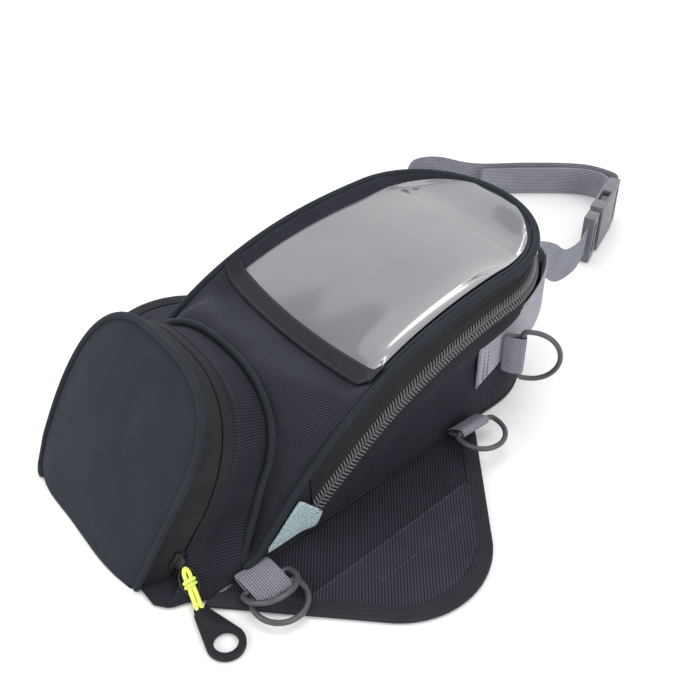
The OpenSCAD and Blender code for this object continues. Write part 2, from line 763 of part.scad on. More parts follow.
// Waist belt behind the bag: each route is a smooth line through a few points
buckle_at = [-6, 283, buckle_w / 2 + 1];
buckle_turn = 113.5;
function buckle_pt(x, y) =
  buckle_at + x * [cos(buckle_turn), sin(buckle_turn), 0] + y * [-sin(buckle_turn), cos(buckle_turn), 0];
function smooth(p, n) = concat([for (i = [0:len(p) - 2], k = [0:n - 1])
  let (a = p[max(i - 1, 0)], b = p[i], c = p[i + 1], d = p[min(i + 2, len(p) - 1)], t = k / n)
  b + (c - a) * t / 2 + (a - 2.5 * b + 2 * c - d / 2) * t * t + (1.5 * (b - c) + (d - a) / 2) * t * t * t],
  [p[len(p) - 1]]);
route_steps = 4;
belt_z = belt_w / 2 + 1;
// Points on the line on from the end of a side strap
function past_strap(turn, d) =
  let (c = strap_corner(turn), end = c[corner_steps - 1])
  end + unit(end - c[corner_steps - 2]) * d;
mouth_gap = 8;
socket_x = frame_l + mouth_gap;
buckle_l = socket_x + socket_l + frame_l;
// Straight length of a strap beside a seam or a buckle
straight = 4;
short_route = concat([past_strap(right_turn, gap)],
  smooth([past_strap(right_turn, straight), [38, 164, 77], [29, 190, 60], [20, 218, 38], [6, 256, 24],
    buckle_pt(-straight, 0)], route_steps), [buckle_pt(-gap, 0)]);
belt_route = concat([buckle_pt(buckle_l + gap, 0)],
  smooth([buckle_pt(buckle_l + straight, 0), [-54, 380, 20],
    [-92, 378, belt_z], [-127, 340, belt_z], [-160, 297, belt_z], [-193, 278, belt_z],
    [-202, 254, belt_z], [-176, 222, 19], [-128, 176, 38], [-93, 128, 52],
    flip_x(past_strap(left_turn, straight))], route_steps), [flip_x(past_strap(left_turn, gap))]);
tail_y = 3;
tail_route = concat([buckle_pt(buckle_l + gap, tail_y)],
  smooth([buckle_pt(buckle_l + straight, tail_y), [-62, 370, 20],
    [-90, 366, belt_z], [-121, 330, belt_z], [-147, 294, belt_z]], route_steps));

module belt_strap() {
  color(grey_web) skin(swept(belt_route, oblong(web_t, belt_w)));
}

module belt_tail() {
  color(grey_web * 0.9) skin(swept(tail_route, oblong(web_t, belt_w)));
}

module short_strap() {
  color(grey_web) skin(swept(short_route, oblong(web_t, belt_w)));
}

// Side-release buckle: local X runs from the plug to the socket, local Z across it
module buckle_frame() {
  translate(buckle_at) rotate(buckle_turn) children();
}

module strap_frame() {
  outer_bar = 3;
  inner_bar = 4;
  slot = frame_l - outer_bar - inner_bar;
  difference() {
    translate([0, -buckle_t / 2 + 1, -buckle_w / 2]) cube([frame_l, buckle_t - 2, buckle_w]);
    translate([outer_bar, -buckle_t, -belt_w / 2 - 1]) cube([slot, 2 * buckle_t, belt_w + 2]);
  }
}

cheek = 5.5;
inner_half = buckle_w / 2 - cheek;
inner_t = buckle_t - 2 * socket_wall;
blade_t = inner_t - 1;
catch = 2.5;
window_x0 = socket_x + 14;
window_x1 = socket_x + 32;

module buckle_socket() {
  color([0.30, 0.30, 0.32]) buckle_frame() {
    difference() {
      translate([socket_x, -buckle_t / 2, -buckle_w / 2]) cube([socket_l, buckle_t, buckle_w]);
      translate([socket_x - 1, -inner_t / 2, -inner_half]) cube([socket_l - 5, inner_t, 2 * inner_half]);
      translate([window_x0, -inner_t / 2, -buckle_w]) cube([window_x1 - window_x0, inner_t, 2 * buckle_w]);
    }
    translate([socket_x + socket_l, 0, 0]) strap_frame();
  }
}

prong_x = frame_l + 2 * gap;
pivot_z = inner_half - 4;
module buckle_plug() {
  rod_w = 6;
  color([0.27, 0.27, 0.29]) buckle_frame() {
    strap_frame();
    translate([frame_l, -blade_t / 2, -rod_w / 2]) cube([socket_l - 9, blade_t, rod_w]);
  }
}

// A prong: a springy stem with a sloping head that sits in the socket's window
module prong(side) {
  head_x = window_x0 + 1.5;
  tip_x = window_x1 - 1.5;
  color([0.27, 0.27, 0.29]) buckle_frame() mirror([0, 0, side < 0 ? 1 : 0])
    rotate([90, 0, 0]) linear_extrude(blade_t, center = true)
      polygon([[prong_x, pivot_z - 1.5], [head_x, pivot_z - 1.5], [tip_x, pivot_z + 1],
        [tip_x, inner_half], [tip_x - 3, inner_half + catch], [head_x, inner_half - gap],
        [head_x - 3, pivot_z + 1.5], [prong_x, pivot_z + 1.5]]);
}

base_panel();
base_board();
side_gusset();
nose_panel();
nose_piping();
zip_tape_lower();
zip_coil_lower();
zip_end_tabs();
lid_panel();
lid_rim();
lid_piping();
zip_tape_upper();
zip_coil_upper();
window_sheet();
window_binding();
pouch_gusset();
pouch_back();
pouch_floor();
pouch_back_piping();
pouch_zip_tape();
pouch_face();
pouch_rim();
pouch_face_piping();
pouch_slider();
pull_cord();
pull_tab();
main_slider();
main_pull();
wing(1);  // wing_right
wing(-1);  // wing_left
wing_binding(1);  // wing_binding_right
wing_binding(-1);  // wing_binding_left
wing_magnets(1);  // wing_magnets_right
wing_magnets(-1);  // wing_magnets_left
front_loop(1);  // front_loop_right
front_loop(-1);  // front_loop_left
side_loop(1);  // side_loop_right
side_loop(-1);  // side_loop_left
side_strap(1);  // side_strap_right
side_strap(-1);  // side_strap_left
rear_loop(1);  // rear_loop_right
rear_loop(-1);  // rear_loop_left
front_ring_outer(1);  // front_ring_outer_right
front_ring_outer(-1);  // front_ring_outer_left
front_ring_inner(1);  // front_ring_inner_right
front_ring_inner(-1);  // front_ring_inner_left
side_ring(1);  // side_ring_right
side_ring(-1);  // side_ring_left
rear_ring(1);  // rear_ring_right
rear_ring(-1);  // rear_ring_left
belt_strap();
belt_tail();
short_strap();
buckle_socket();
buckle_plug();
prong(1);  // prong_upper
prong(-1);  // prong_lower
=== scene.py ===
# %% [markdown]
# # Dressing a motorcycle tank bag
# The solids of this bag come from a CAD model, which fixes every size, place and joint. This lesson
# puts the cloth, webbing, zips and buckle over those solids, piece by piece. Soft pieces take the
# place of their plain solids, and each piece rides on the body that carries it, so that the lid,
# the pouch door, the wings and the rings still move.

# %% Load the frame
import math

import bpy
from mathutils import Matrix, Vector, noise


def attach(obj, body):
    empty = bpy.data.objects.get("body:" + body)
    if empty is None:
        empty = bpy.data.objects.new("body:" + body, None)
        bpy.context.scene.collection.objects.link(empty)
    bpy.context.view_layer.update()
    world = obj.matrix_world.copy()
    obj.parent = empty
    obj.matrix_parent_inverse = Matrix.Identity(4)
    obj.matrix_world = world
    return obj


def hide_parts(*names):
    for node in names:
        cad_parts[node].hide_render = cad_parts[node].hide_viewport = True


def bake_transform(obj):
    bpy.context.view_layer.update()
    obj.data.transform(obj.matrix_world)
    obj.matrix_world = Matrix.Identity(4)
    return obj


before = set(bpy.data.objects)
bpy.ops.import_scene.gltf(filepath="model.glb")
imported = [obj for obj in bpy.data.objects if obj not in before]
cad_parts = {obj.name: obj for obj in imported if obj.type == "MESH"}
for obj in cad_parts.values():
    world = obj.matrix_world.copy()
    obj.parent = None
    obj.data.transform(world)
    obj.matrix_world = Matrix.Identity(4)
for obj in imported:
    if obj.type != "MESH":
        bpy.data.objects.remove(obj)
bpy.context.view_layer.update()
MM = 0.001

# %% [markdown]
# ## Camera
# The photograph was taken from the right and above, towards the pouch. The camera's turn, tilt and
# place were solved from the flat base and the bag's mirror symmetry, so they are typed in here.
# A picture 700 pixels wide with a focal length of 1000 pixels gives the lens.

# %% Camera
TURN, TILT = math.radians(51.01), math.radians(39.27)
CAMERA_AT = Vector((440.1, -345.06, 504.99))
FOCAL_PX, WIDTH_PX, SENSOR = 1000, 700, 36
view_right = Vector((math.cos(TURN), math.sin(TURN), 0))
view_dir = Vector((-math.sin(TURN) * math.cos(TILT), math.cos(TURN) * math.cos(TILT), -math.sin(TILT)))
view_up = view_right.cross(view_dir)
aim = Matrix((view_right, view_up, -view_dir)).transposed()
bpy.ops.object.camera_add(location=CAMERA_AT * MM, rotation=aim.to_euler())
camera = bpy.context.object
camera.name = "photo_camera"
camera.data.sensor_width = SENSOR
camera.data.lens = SENSOR * FOCAL_PX / WIDTH_PX
camera.data.clip_start = 0.01
bpy.context.scene.camera = camera
print("lens:", round(camera.data.lens, 2), "mm")

# %% [markdown]
# ## Floor and light
# The bag stands on plain white with hardly any shadow. A large pale floor, an even world and three
# big soft lamps give that look. The lamp behind on the left is what the glossy window mirrors, and
# a narrow lamp draws the bright line along the window's right edge.

# %% Floor and light
FLOOR_SIZE, FLOOR_Z = 8, -0.0006
bpy.ops.object.select_all(action="DESELECT")
bpy.ops.mesh.primitive_plane_add(size=FLOOR_SIZE, location=(0, 0, FLOOR_Z))
floor = bpy.context.object
floor.name = "floor"
pale = bpy.data.materials.new("pale_floor")
pale.use_nodes = True
pale_inputs = pale.node_tree.nodes["Principled BSDF"].inputs
pale_inputs["Base Color"].default_value = (0.93, 0.93, 0.93, 1)
pale_inputs["Roughness"].default_value = 0.9
floor.data.materials.append(pale)
world = bpy.data.worlds.new("studio")
world.use_nodes = True
world_inputs = world.node_tree.nodes["Background"].inputs
world_inputs["Color"].default_value = (1, 1, 1, 1)
world_inputs["Strength"].default_value = 0.68
bpy.context.scene.world = world
bpy.context.scene.view_settings.view_transform = "Standard"


def soft_lamp(name, place, target, size, watts):
    """A rectangular lamp that faces its target."""
    bpy.ops.object.light_add(type="AREA", location=place)
    lamp = bpy.context.object
    lamp.name = name
    lamp.data.shape = "RECTANGLE"
    lamp.data.size = size[0]
    lamp.data.size_y = size[1]
    lamp.data.energy = watts
    lamp.rotation_euler = (Vector(target) - Vector(place)).to_track_quat("-Z", "Y").to_euler()


soft_lamp("lamp_top", (0.1, 0.3, 1.9), (0, 0.05, 0), (1.5, 1.5), 15)
soft_lamp("lamp_front", (-0.3, -1.6, 1.0), (0, -0.1, 0.05), (1.2, 1.2), 13)
soft_lamp("lamp_right", (1.7, 0.0, 0.9), (0, 0, 0.05), (1.0, 1.0), 12)
soft_lamp("lamp_window", (-1.59, 0.78, 1.06), (0, 0.06, 0.1), (5.0, 1.8), 26.0)
soft_lamp("lamp_crease", (-1.9, 0.54, 0.46), (0, 0.06, 0.1), (1.2, 0.24), 3.6)
print("stage ready")

# %% [markdown]
# ## Building a finish
# A finish is a small network of nodes. These helpers add one node each, set its inputs and link it
# to the node before it, so that the finishes below read as a list of what they are made of.


# %% Finish helpers
def blank(name):
    """A new material with its node tree, its shader and its texture coordinates."""
    made = bpy.data.materials.new(name)
    made.use_nodes = True
    tree = made.node_tree
    return made, tree, tree.nodes["Principled BSDF"], tree.nodes.new("ShaderNodeTexCoord").outputs


def fill(tree, node, inputs):
    """Sets a node's inputs; one that is another node's output is linked instead."""
    for key, value in inputs.items():
        if isinstance(value, bpy.types.NodeSocket):
            tree.links.new(value, node.inputs[key])
        else:
            node.inputs[key].default_value = value
    return node


def add(tree, kind, inputs, operation=None):
    """A new node with its inputs."""
    node = tree.nodes.new("ShaderNode" + kind)
    if operation:
        node.operation = operation
    return fill(tree, node, inputs)


def calc(tree, operation, a, b):
    """Two values multiplied or added."""
    return add(tree, "Math", {0: a, 1: b}, operation).outputs[0]


def cloud(tree, coords, scale, detail):
    """A noise that keeps its place on the piece."""
    inputs = {"Vector": coords["Object"], "Scale": scale, "Detail": detail}
    return add(tree, "TexNoise", inputs).outputs["Fac"]


def around(tree, value, middle, spread, start=0.0, end=1.0):
    """A pattern turned into values on both sides of a middle one."""
    limits = {"From Min": start, "From Max": end, "To Min": middle - spread, "To Max": middle + spread}
    return add(tree, "MapRange", {"Value": value, **limits}).outputs[0]


def tinted(tree, color, share):
    """A colour made lighter and darker by a pattern."""
    return add(tree, "VectorMath", {0: color, "Scale": share}, "SCALE").outputs["Vector"]


def relief(tree, height, strength, depth):
    """A pattern felt as small bumps; depth is in millimetres."""
    inputs = {"Height": height, "Strength": strength, "Distance": depth * MM}
    return add(tree, "Bump", inputs).outputs["Normal"]


print("finish helpers ready")

# %% [markdown]
# ## Woven finishes
# Nearly everything here is woven: charcoal pack cloth, brown-black zip tape and grey webbing. Each
# piece carries a UV map in metres, so a weave keeps its real size on any surface. Two wave patterns,
# one per thread direction, are added and drive a bump and a painted shade: the tone is darker in
# the gaps between threads and lighter on their tops. A soft noise on Object coordinates breaks up
# the evenness, as wear and dust do.

# %% Woven finishes
WAVE_BAND = 0.31416  # one band of a wave is this long, divided by its scale
CLOTH_ROUGH, CLOTH_GLOSS = 0.85, 0.12
SHEEN_ROUGH, SHEEN_TINT = 0.5, (0.62, 0.74, 1.0, 1)
DUST_DETAIL, DUST_FROM, DUST_TO = 6, 0.3, 0.7


def woven(name, color, pitch, weights=(1.0, 1.0), bump=0.3, depth=0.15, sheen=0.25,
          contrast=0.5, angle=0.0, mottle=0.22, mottle_scale=45):
    """Cloth of two thread directions; pitch and weights are given across and along the piece."""
    made, tree, shader, coords = blank(name)
    turn = (0, 0, math.radians(angle))
    turned = add(tree, "Mapping", {"Vector": coords["UV"], "Rotation": turn}).outputs["Vector"]
    threads = []
    for direction, p, w in zip("XY", pitch, weights):
        bands = add(tree, "TexWave", {"Vector": turned, "Scale": WAVE_BAND / (p * MM)})
        bands.wave_type = "BANDS"
        bands.bands_direction = direction
        threads.append(calc(tree, "MULTIPLY", bands.outputs["Fac"], w / sum(weights)))
    height = calc(tree, "ADD", *threads)
    # painted shade: the tone follows the weave's height, darker in the gaps between threads and lighter on
    # their tops
    shade = around(tree, height, 1, contrast / 2)
    dust = around(tree, cloud(tree, coords, mottle_scale, DUST_DETAIL), 1, mottle / 2, DUST_FROM, DUST_TO)
    fill(tree, shader, {
        "Base Color": tinted(tree, color, calc(tree, "MULTIPLY", shade, dust)),
        "Normal": relief(tree, height, bump, depth),
        "Roughness": CLOTH_ROUGH, "Specular IOR Level": CLOTH_GLOSS,
        "Sheen Weight": sheen, "Sheen Roughness": SHEEN_ROUGH, "Sheen Tint": SHEEN_TINT})
    return made


pack_cloth = woven("pack_cloth", (0.0260, 0.0265, 0.0355), (1.7, 1.7), bump=1.0, depth=0.35,
                   contrast=1.7, sheen=0.05)
ribbed_cloth = woven("ribbed_cloth", (0.0200, 0.0205, 0.0280), (2.0, 0.9), (1.0, 0.3), bump=0.8, depth=0.3,
                     contrast=1.1, sheen=0.04)
twill_cloth = woven("twill_cloth", (0.0205, 0.0250, 0.0310), (1.0, 1.0), bump=0.4, contrast=0.8, angle=35,
                    sheen=0.05)
wing_cloth = woven("wing_cloth", (0.0195, 0.0202, 0.0272), (2.0, 1.0), (1.0, 0.35), bump=0.9, depth=0.35,
                   contrast=1.6, sheen=0.05, angle=-51)
# painted highlight: the doubled wing cloth is wing_cloth's weave in a lighter colour
double_cloth_painted_light = woven("double_cloth_painted_light", (0.0290, 0.0302, 0.0400), (2.0, 1.0), (1.0, 0.35), bump=0.9, depth=0.35,
                     contrast=1.5, sheen=0.05, angle=-51)
zip_tape = woven("zip_tape", (0.0215, 0.0205, 0.0230), (0.8, 1.2), (0.6, 1.0), bump=0.5, contrast=0.6,
                 sheen=0.03)
edge_tape = woven("edge_tape", (0.0245, 0.0262, 0.0325), (3.0, 0.9), (0.3, 1.0), bump=0.6, contrast=0.7,
                  sheen=0.04)
grey_webbing = woven("grey_webbing", (0.230, 0.233, 0.270), (1.6, 1.25), (1.0, 0.6), bump=1.0, depth=0.5,
                     contrast=1.5, sheen=0.1)
strap_webbing = woven("strap_webbing", (0.30, 0.297, 0.33), (1.4, 1.4), bump=0.8, depth=0.3, contrast=0.8,
                      sheen=0.1)
mint_tape = woven("mint_tape", (0.40, 0.51, 0.52), (1.5, 1.5), bump=0.9, depth=0.4, contrast=0.8, mottle=0.7,
                  mottle_scale=900)
neon_cord = woven("neon_cord", (0.82, 0.95, 0.17), (1.0, 1.4), bump=0.9, depth=0.4, contrast=0.6, sheen=0.1,
                  mottle=0.1)
# painted glow: emission makes the cord give off light of its own, brighter than the lamps make it
neon_glow_inputs = neon_cord.node_tree.nodes["Principled BSDF"].inputs
neon_glow_inputs["Emission Color"].default_value = (0.9, 1.0, 0.25, 1)
neon_glow_inputs["Emission Strength"].default_value = 0.13
print("woven finishes ready, materials so far:", len(bpy.data.materials))

# %% [markdown]
# ## Hard finishes
# Rings, buckle, sliders and the nylon coil are plain coated metal or moulded plastic. A soft noise
# changes tone and roughness and a fine one adds a faint grain, so that highlights break up as they
# do on real mouldings. The window is a soft clear sheet, which shows mostly what it mirrors: its smooth coat
# does that over a pale grey body, which is itself a painted reflection of the pale studio.

# %% Hard finishes
WEAR_SCALE, WEAR_DETAIL, WEAR_ROUGH, WEAR_TONE = 120, 5, 0.12, 0.15
GRAIN_DETAIL, GRAIN_DEPTH = 3, 0.1


def moulded(name, color, rough, grain=0.1, grain_scale=1800, metal=0.0, gloss_level=0.5):
    """Coated metal or plastic with a fine grain."""
    made, tree, shader, coords = blank(name)
    wear = cloud(tree, coords, WEAR_SCALE, WEAR_DETAIL)
    fill(tree, shader, {
        "Base Color": tinted(tree, color, around(tree, wear, 1, WEAR_TONE)),
        "Normal": relief(tree, cloud(tree, coords, grain_scale, GRAIN_DETAIL), grain, GRAIN_DEPTH),
        "Roughness": around(tree, wear, rough, WEAR_ROUGH),
        "Metallic": metal, "Specular IOR Level": gloss_level})
    return made


ring_coat = moulded("ring_coat", (0.064, 0.066, 0.076), 0.38, grain=0.08)
black_enamel = moulded("black_enamel", (0.018, 0.018, 0.02), 0.35)
buckle_plastic = moulded("buckle_plastic", (0.125, 0.13, 0.15), 0.44, grain=0.25, grain_scale=1400)
pull_rubber = moulded("pull_rubber", (0.0135, 0.0150, 0.0195), 0.6, grain=0.2, gloss_level=0.2)
coil_nylon = moulded("coil_nylon", (0.120, 0.119, 0.130), 0.30, grain=0.05)
base_rubber = moulded("base_rubber", (0.02, 0.02, 0.021), 0.8, grain=0.6, grain_scale=900)
magnet_plate = moulded("magnet_plate", (0.25, 0.25, 0.26), 0.5, metal=0.8)
stiff_board = moulded("stiff_board", (0.10, 0.10, 0.11), 0.7)
seam_thread = moulded("seam_thread", (0.050, 0.052, 0.062), 0.7)
grey_thread = moulded("grey_thread", (0.16, 0.16, 0.175), 0.7)


def clear_sheet():
    """Soft clear sheet drawn opaque: its grey is a painted reflection of the pale studio; smooth, glossy and
    a little uneven.
    """
    made, tree, shader, coords = blank("clear_sheet")
    # painted reflection: the sheet is drawn opaque and its grey stands for the pale studio it mirrors; its
    # darker patches stand for the cloth seen through it
    reflection_grey = add(tree, "ValToRGB", {"Fac": cloud(tree, coords, 12, 4)})
    dark, light = reflection_grey.color_ramp.elements
    dark.position, light.position = 0.3, 0.75
    dark.color = (0.125, 0.128, 0.140, 1)
    light.color = (0.165, 0.167, 0.180, 1)
    fill(tree, shader, {
        "Base Color": reflection_grey.outputs["Color"],
        "Normal": relief(tree, cloud(tree, coords, 38, 2), 0.03, 2),
        "Roughness": 0.13, "Specular IOR Level": 0.7,
        "Coat Weight": 0.8, "Coat Roughness": 0.08})
    return made


window_clear = clear_sheet()
print("finishes:", len(bpy.data.materials))

# %% [markdown]
# ## The shape of the bag
# Seen from above, the bag's sides run nearly straight and its rear is half an ellipse. Its upper
# edge climbs from almost nothing at the front to 121 mm at the rear, and the zip runs below that
# edge. These few curves describe every panel, so they are written once, in millimetres.

# %% Shape of the bag
FRONT_Y, REAR_Y, ROUND_Y, ROUND_L = -147.0, 154.0, 84.0, 70.0
HALF_FRONT, HALF_REAR, FLARE = 90.0, 76.0, 3.5
LID_H, RISE, LEAST_EDGE, NOSE_LOW = 121.0, 3.2, 10.2, 5.2
NOSE_H, NOSE_LEAN = 94.0, math.tan(math.radians(30.1))
NOSE_Y = FRONT_Y + NOSE_H * NOSE_LEAN
HUMP, DISH, DISH_FADE = 52.0, 9.0, 36.0
FLAT_RIGHT, FLAT_LEFT, FLAT_END = 0.84, 0.9, 0.985
ZIP_DROP_FRONT, ZIP_DROP_REAR = 40, 20
HINGE_Y, HINGE_Z, CUT = -80.01, 98.62, math.radians(53)
QUARTER = math.pi / 2
SIDES = ((1, "right"), (-1, "left"))


def lerp(a, b, t):
    return a + (b - a) * t


def ease(t):
    t = max(0.0, min(1.0, t))
    return t * t * (3 - 2 * t)


def spaced(a, b, n):
    """Values from a to b in n equal steps."""
    return [lerp(a, b, i / n) for i in range(n + 1)]


def arc(turn, n):
    """Angles from 0 to turn in n equal steps."""
    return [turn * i / n for i in range(n + 1)]


def bunched(n):
    """Shares of a half width from -1 to 1, closer together at both edges."""
    return [math.sin(QUARTER * (i / n - 1)) for i in range(2 * n + 1)]


def half_width(y):
    if y <= ROUND_Y:
        return lerp(HALF_FRONT, HALF_REAR, (y - FRONT_Y) / (ROUND_Y - FRONT_Y))
    return HALF_REAR * math.sqrt(max(0.0, 1 - ((y - ROUND_Y) / ROUND_L) ** 2))


def along(y):
    return max(0.0, min(1.0, (y - FRONT_Y) / (REAR_Y - FRONT_Y)))


def edge_z(y):
    return max(LEAST_EDGE, LID_H * (1 - (1 - along(y)) ** RISE))


def zip_z(y):
    return edge_z(y) - lerp(ZIP_DROP_FRONT, ZIP_DROP_REAR, along(y))


def middle_z(y):
    if y < NOSE_Y:
        return max(NOSE_LOW, (y - FRONT_Y) / NOSE_LEAN)
    fade = ease((y - NOSE_Y) / HUMP)
    dished = edge_z(y) - DISH * fade * ease((REAR_Y - y) / DISH_FADE)
    return dished + (NOSE_H - edge_z(NOSE_Y)) * (1 - fade)


def panel_z(t, y):
    """Height of the top panel; t is 0 in the middle and 1 at the edge."""
    flat = FLAT_RIGHT if t > 0 else FLAT_LEFT
    start = lerp(lerp(0.68, 0.56, ease((y + 110) / 25)), flat, ease((y + 80) / 45))
    return lerp(middle_z(y), edge_z(y), ease((abs(t) - start) / (FLAT_END - start)))


def cut_z(y):
    """The slanting cut between the nose and the lid."""
    return HINGE_Z - (y - HINGE_Y) * math.tan(CUT)


def side_station(side, y):
    """A place on a straight side as x, y and outward direction."""
    return side * half_width(y), y, side, 0.0


def rear_station(a):
    """A place on the rounded rear, at an angle from its right end."""
    return HALF_REAR * math.cos(a), ROUND_Y + ROUND_L * math.sin(a), math.cos(a), math.sin(a)


def rim_stations(y0, step=4.0, turns=22):
    """Places round the bag: the right side from y0, the rear, and the left side."""
    n = max(2, round((ROUND_Y - y0) / step))
    right = [side_station(1.0, y) for y in spaced(y0, ROUND_Y, n)[:-1]]
    right += [rear_station(a) for a in arc(QUARTER, turns)]
    return right + [(-x, y, -ox, oy) for x, y, ox, oy in reversed(right[:-1])]


def side_point(station, z, off):
    """A point of the side wall at height z, moved out by off."""
    x, y, ox, oy = station
    out = FLARE * (1 - z / edge_z(y)) + off
    return Vector((x + ox * out, y + oy * out, z))


print("width at the front:", 2 * half_width(FRONT_Y), "mm, height at the rear:", edge_z(REAR_Y), "mm")

# %% [markdown]
# ## From a flat grid to a panel
# A sewn panel starts as flat cloth, so each panel here starts as a flat grid. Its points are moved
# to their places on the curves above, and its UV map is set to the true lengths along the cloth.
# Solidify then gives it thickness and a subdivision rounds its edges. Pulling each point by hand in
# edit mode would do the same, but a formula keeps the two sides equal.

# %% Panel helpers
MERGE, SLIVER = 0.00001, 0.000005


def pick(piece):
    """Selects one piece and nothing else."""
    bpy.ops.object.select_all(action="DESELECT")
    piece.select_set(True)
    bpy.context.view_layer.objects.active = piece


def weld(piece):
    """Merges points that lie together, such as the seam of a tube or the tip of a panel."""
    pick(piece)
    bpy.ops.object.mode_set(mode="EDIT")
    bpy.ops.mesh.select_all(action="SELECT")
    bpy.ops.mesh.remove_doubles(threshold=MERGE)
    bpy.ops.mesh.dissolve_degenerate(threshold=SLIVER)
    bpy.ops.object.mode_set(mode="OBJECT")


def running(points):
    """Lengths along a line of points, starting from 0."""
    out = [0.0]
    for a, b in zip(points, points[1:]):
        out.append(out[-1] + (Vector(b) - Vector(a)).length)
    return out


def lay_out(name, table, even=False):
    """A grid with its points moved to the table's places; its UV map is in metres, evened if asked."""
    rows, cols = len(table), len(table[0])
    bpy.ops.object.select_all(action="DESELECT")
    bpy.ops.mesh.primitive_grid_add(x_subdivisions=cols - 1, y_subdivisions=rows - 1, size=1)
    piece = bpy.context.object
    piece.name = piece.data.name = name
    piece.data.vertices.foreach_set("co", [c * MM for row in table for p in row for c in p])
    across = [running(row) for row in table]
    length = list(zip(*(running(column) for column in zip(*table))))
    if even:
        across = [[sum(row[j] for row in across) / rows for j in range(cols)]] * rows
        length = [[sum(row) / cols] * cols for row in length]
    middle = [row[-1] / 2 for row in across]
    uv = piece.data.uv_layers.active.data
    for loop in piece.data.loops:
        i, j = divmod(loop.vertex_index, cols)
        uv[loop.index].uv = ((across[i][j] - middle[i]) * MM, length[i][j] * MM)
    piece.data.update()
    return piece


def shape_up(piece, thick=0.0, offset=-1.0, smooth=1):
    """Gives a sheet its thickness, rounds it, and applies both."""
    weld(piece)
    if thick:
        wall = piece.modifiers.new("wall", "SOLIDIFY")
        wall.thickness = thick * MM
        wall.offset = offset
        bpy.ops.object.modifier_apply(modifier="wall")
    if smooth:
        rounding = piece.modifiers.new("rounding", "SUBSURF")
        rounding.levels = rounding.render_levels = smooth
        bpy.ops.object.modifier_apply(modifier="rounding")
    bpy.ops.object.shade_smooth()
    return piece


def dress(piece, finish, slot, body, *nodes):
    """Gives a piece its finish, hides the solids it stands for, and lets it ride on its body."""
    piece.data.materials.clear()
    piece.data.materials.append(finish)
    if nodes:
        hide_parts(*nodes)
    if body:
        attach(piece, body)
    print(piece.name, len(piece.data.polygons), "faces")
    return piece


def grid(point, across, rows):
    """A table of points from a formula."""
    return [[point(a, b) for a in across] for b in rows]


def sew(name, table, thick, finish, slot, body, *nodes, offset=-1.0, smooth=1, even=False):
    """A dressed panel from a table of points; a thickness of 0 leaves a closed tube as it is."""
    return dress(shape_up(lay_out(name, table, even), thick, offset, smooth), finish, slot, body, *nodes)


def facing(side, rows):
    """Rows in the order that turns a panel's face outward on its side."""
    return rows if side > 0 else rows[::-1]


def mirrored(side, p):
    return Vector((side * p.x, p.y, p.z))


def fold_with_lid(piece):
    """Cloth that crosses the fold of the lid: its place is baked into its points, and it rides on no body.
    """
    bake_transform(piece)


def flutter(p, size, scale):
    """A small, repeatable unevenness for cloth."""
    return size * noise.noise(Vector(p) / scale)


print("panel helpers ready")

# %% [markdown]
# ## Top panel
# One padded panel runs from the floor behind the pouch, up over the nose and back under the window.
# On the real bag it is a single piece of cloth that folds when the lid opens, so it is one mesh across
# the lid's hinge; here it stays where it is. Rows follow the length of the bag and columns its width.

# %% Top panel
PANEL_THICK, SWELL = 2.2, 1.6
rows_y = spaced(FRONT_Y, NOSE_Y, 22)[:-1] + spaced(NOSE_Y, ROUND_Y, 36)[:-1]
rows_y += [ROUND_Y + ROUND_L * math.sin(a) for a in arc(QUARTER, 16)]
cols_t = bunched(14)


def swell(t, y):
    """How far the padding lifts the cloth behind the nose."""
    return SWELL * (1 - t * t) * ease((-20 - y) / 30)


def on_panel(t, y):
    pad = swell(t, y) * ease((y - NOSE_Y + 40) / 40)
    bump = flutter((t * 90, y, 0), 0.7, 26)
    return Vector((t * half_width(y), y, panel_z(t, y) + pad + bump * (1 - abs(t))))


top_panel = sew("top_panel", grid(on_panel, cols_t, rows_y), PANEL_THICK, pack_cloth, "fabric", None,
                "nose_panel", "lid_panel")
fold_with_lid(top_panel)

# %% [markdown]
# ## Piping
# A round piping is sewn into the edge all the way round. A tube is a grid too: its rows follow the
# line of the seam and its columns go round it, and the first and last columns are welded. The tube
# closes to a point at each end, because an open end would show its inside.

# %% Tubes
CAP_ANGLES = (0, 0.5, 1.05)


def tube_table(line, radius, sides=10, closed=False):
    """Rings round a line of points, with rounded ends."""
    n = len(line)
    rings = []
    normal = None
    for i, p in enumerate(line):
        a = line[(i - 1) % n] if closed or i else line[0]
        b = line[(i + 1) % n] if closed or i < n - 1 else line[n - 1]
        t = (b - a).normalized()
        if normal is None:
            normal = t.orthogonal().normalized()
        normal = (normal - t * normal.dot(t)).normalized()
        r = radius[i] if isinstance(radius, (list, tuple)) else radius
        rings.append((p, normal.copy(), t.cross(normal), t, r))
    if closed:
        rings.append(rings[0])
    else:
        p, u, v, t, r = rings[0]
        front = [(p - t * r * math.cos(a), u, v, t, r * math.sin(a)) for a in CAP_ANGLES]
        p, u, v, t, r = rings[-1]
        end = [(p + t * r * math.cos(a), u, v, t, r * math.sin(a)) for a in reversed(CAP_ANGLES)]
        rings = front + rings + end
    angles = [-2 * math.pi * k / sides for k in range(sides + 1)]
    return [[p + (u * math.cos(a) + v * math.sin(a)) * r for a in angles] for p, u, v, _, r in rings]


def smooth_line(points, n):
    """A smooth line through a few points."""
    pts = [Vector(p) for p in points]
    out = []
    for i in range(len(pts) - 1):
        a, b, c, d = pts[max(i - 1, 0)], pts[i], pts[i + 1], pts[min(i + 2, len(pts) - 1)]
        for k in range(n):
            t = k / n
            out.append(b + (c - a) * t / 2 + (a - 2.5 * b + 2 * c - d / 2) * t * t
                       + (1.5 * (b - c) + (d - a) / 2) * t ** 3)
    return out + [pts[-1]]


def walk(line, step):
    """Equal steps along a line: the stretch, the point, its direction and the way so far."""
    run, want = 0.0, 0.0
    for i, (a, b) in enumerate(zip(line, line[1:])):
        ahead = (b - a).normalized()
        while want <= run + (b - a).length:
            yield i, a + ahead * (want - run), ahead, want
            want += step
        run += (b - a).length


print("tube helpers ready")

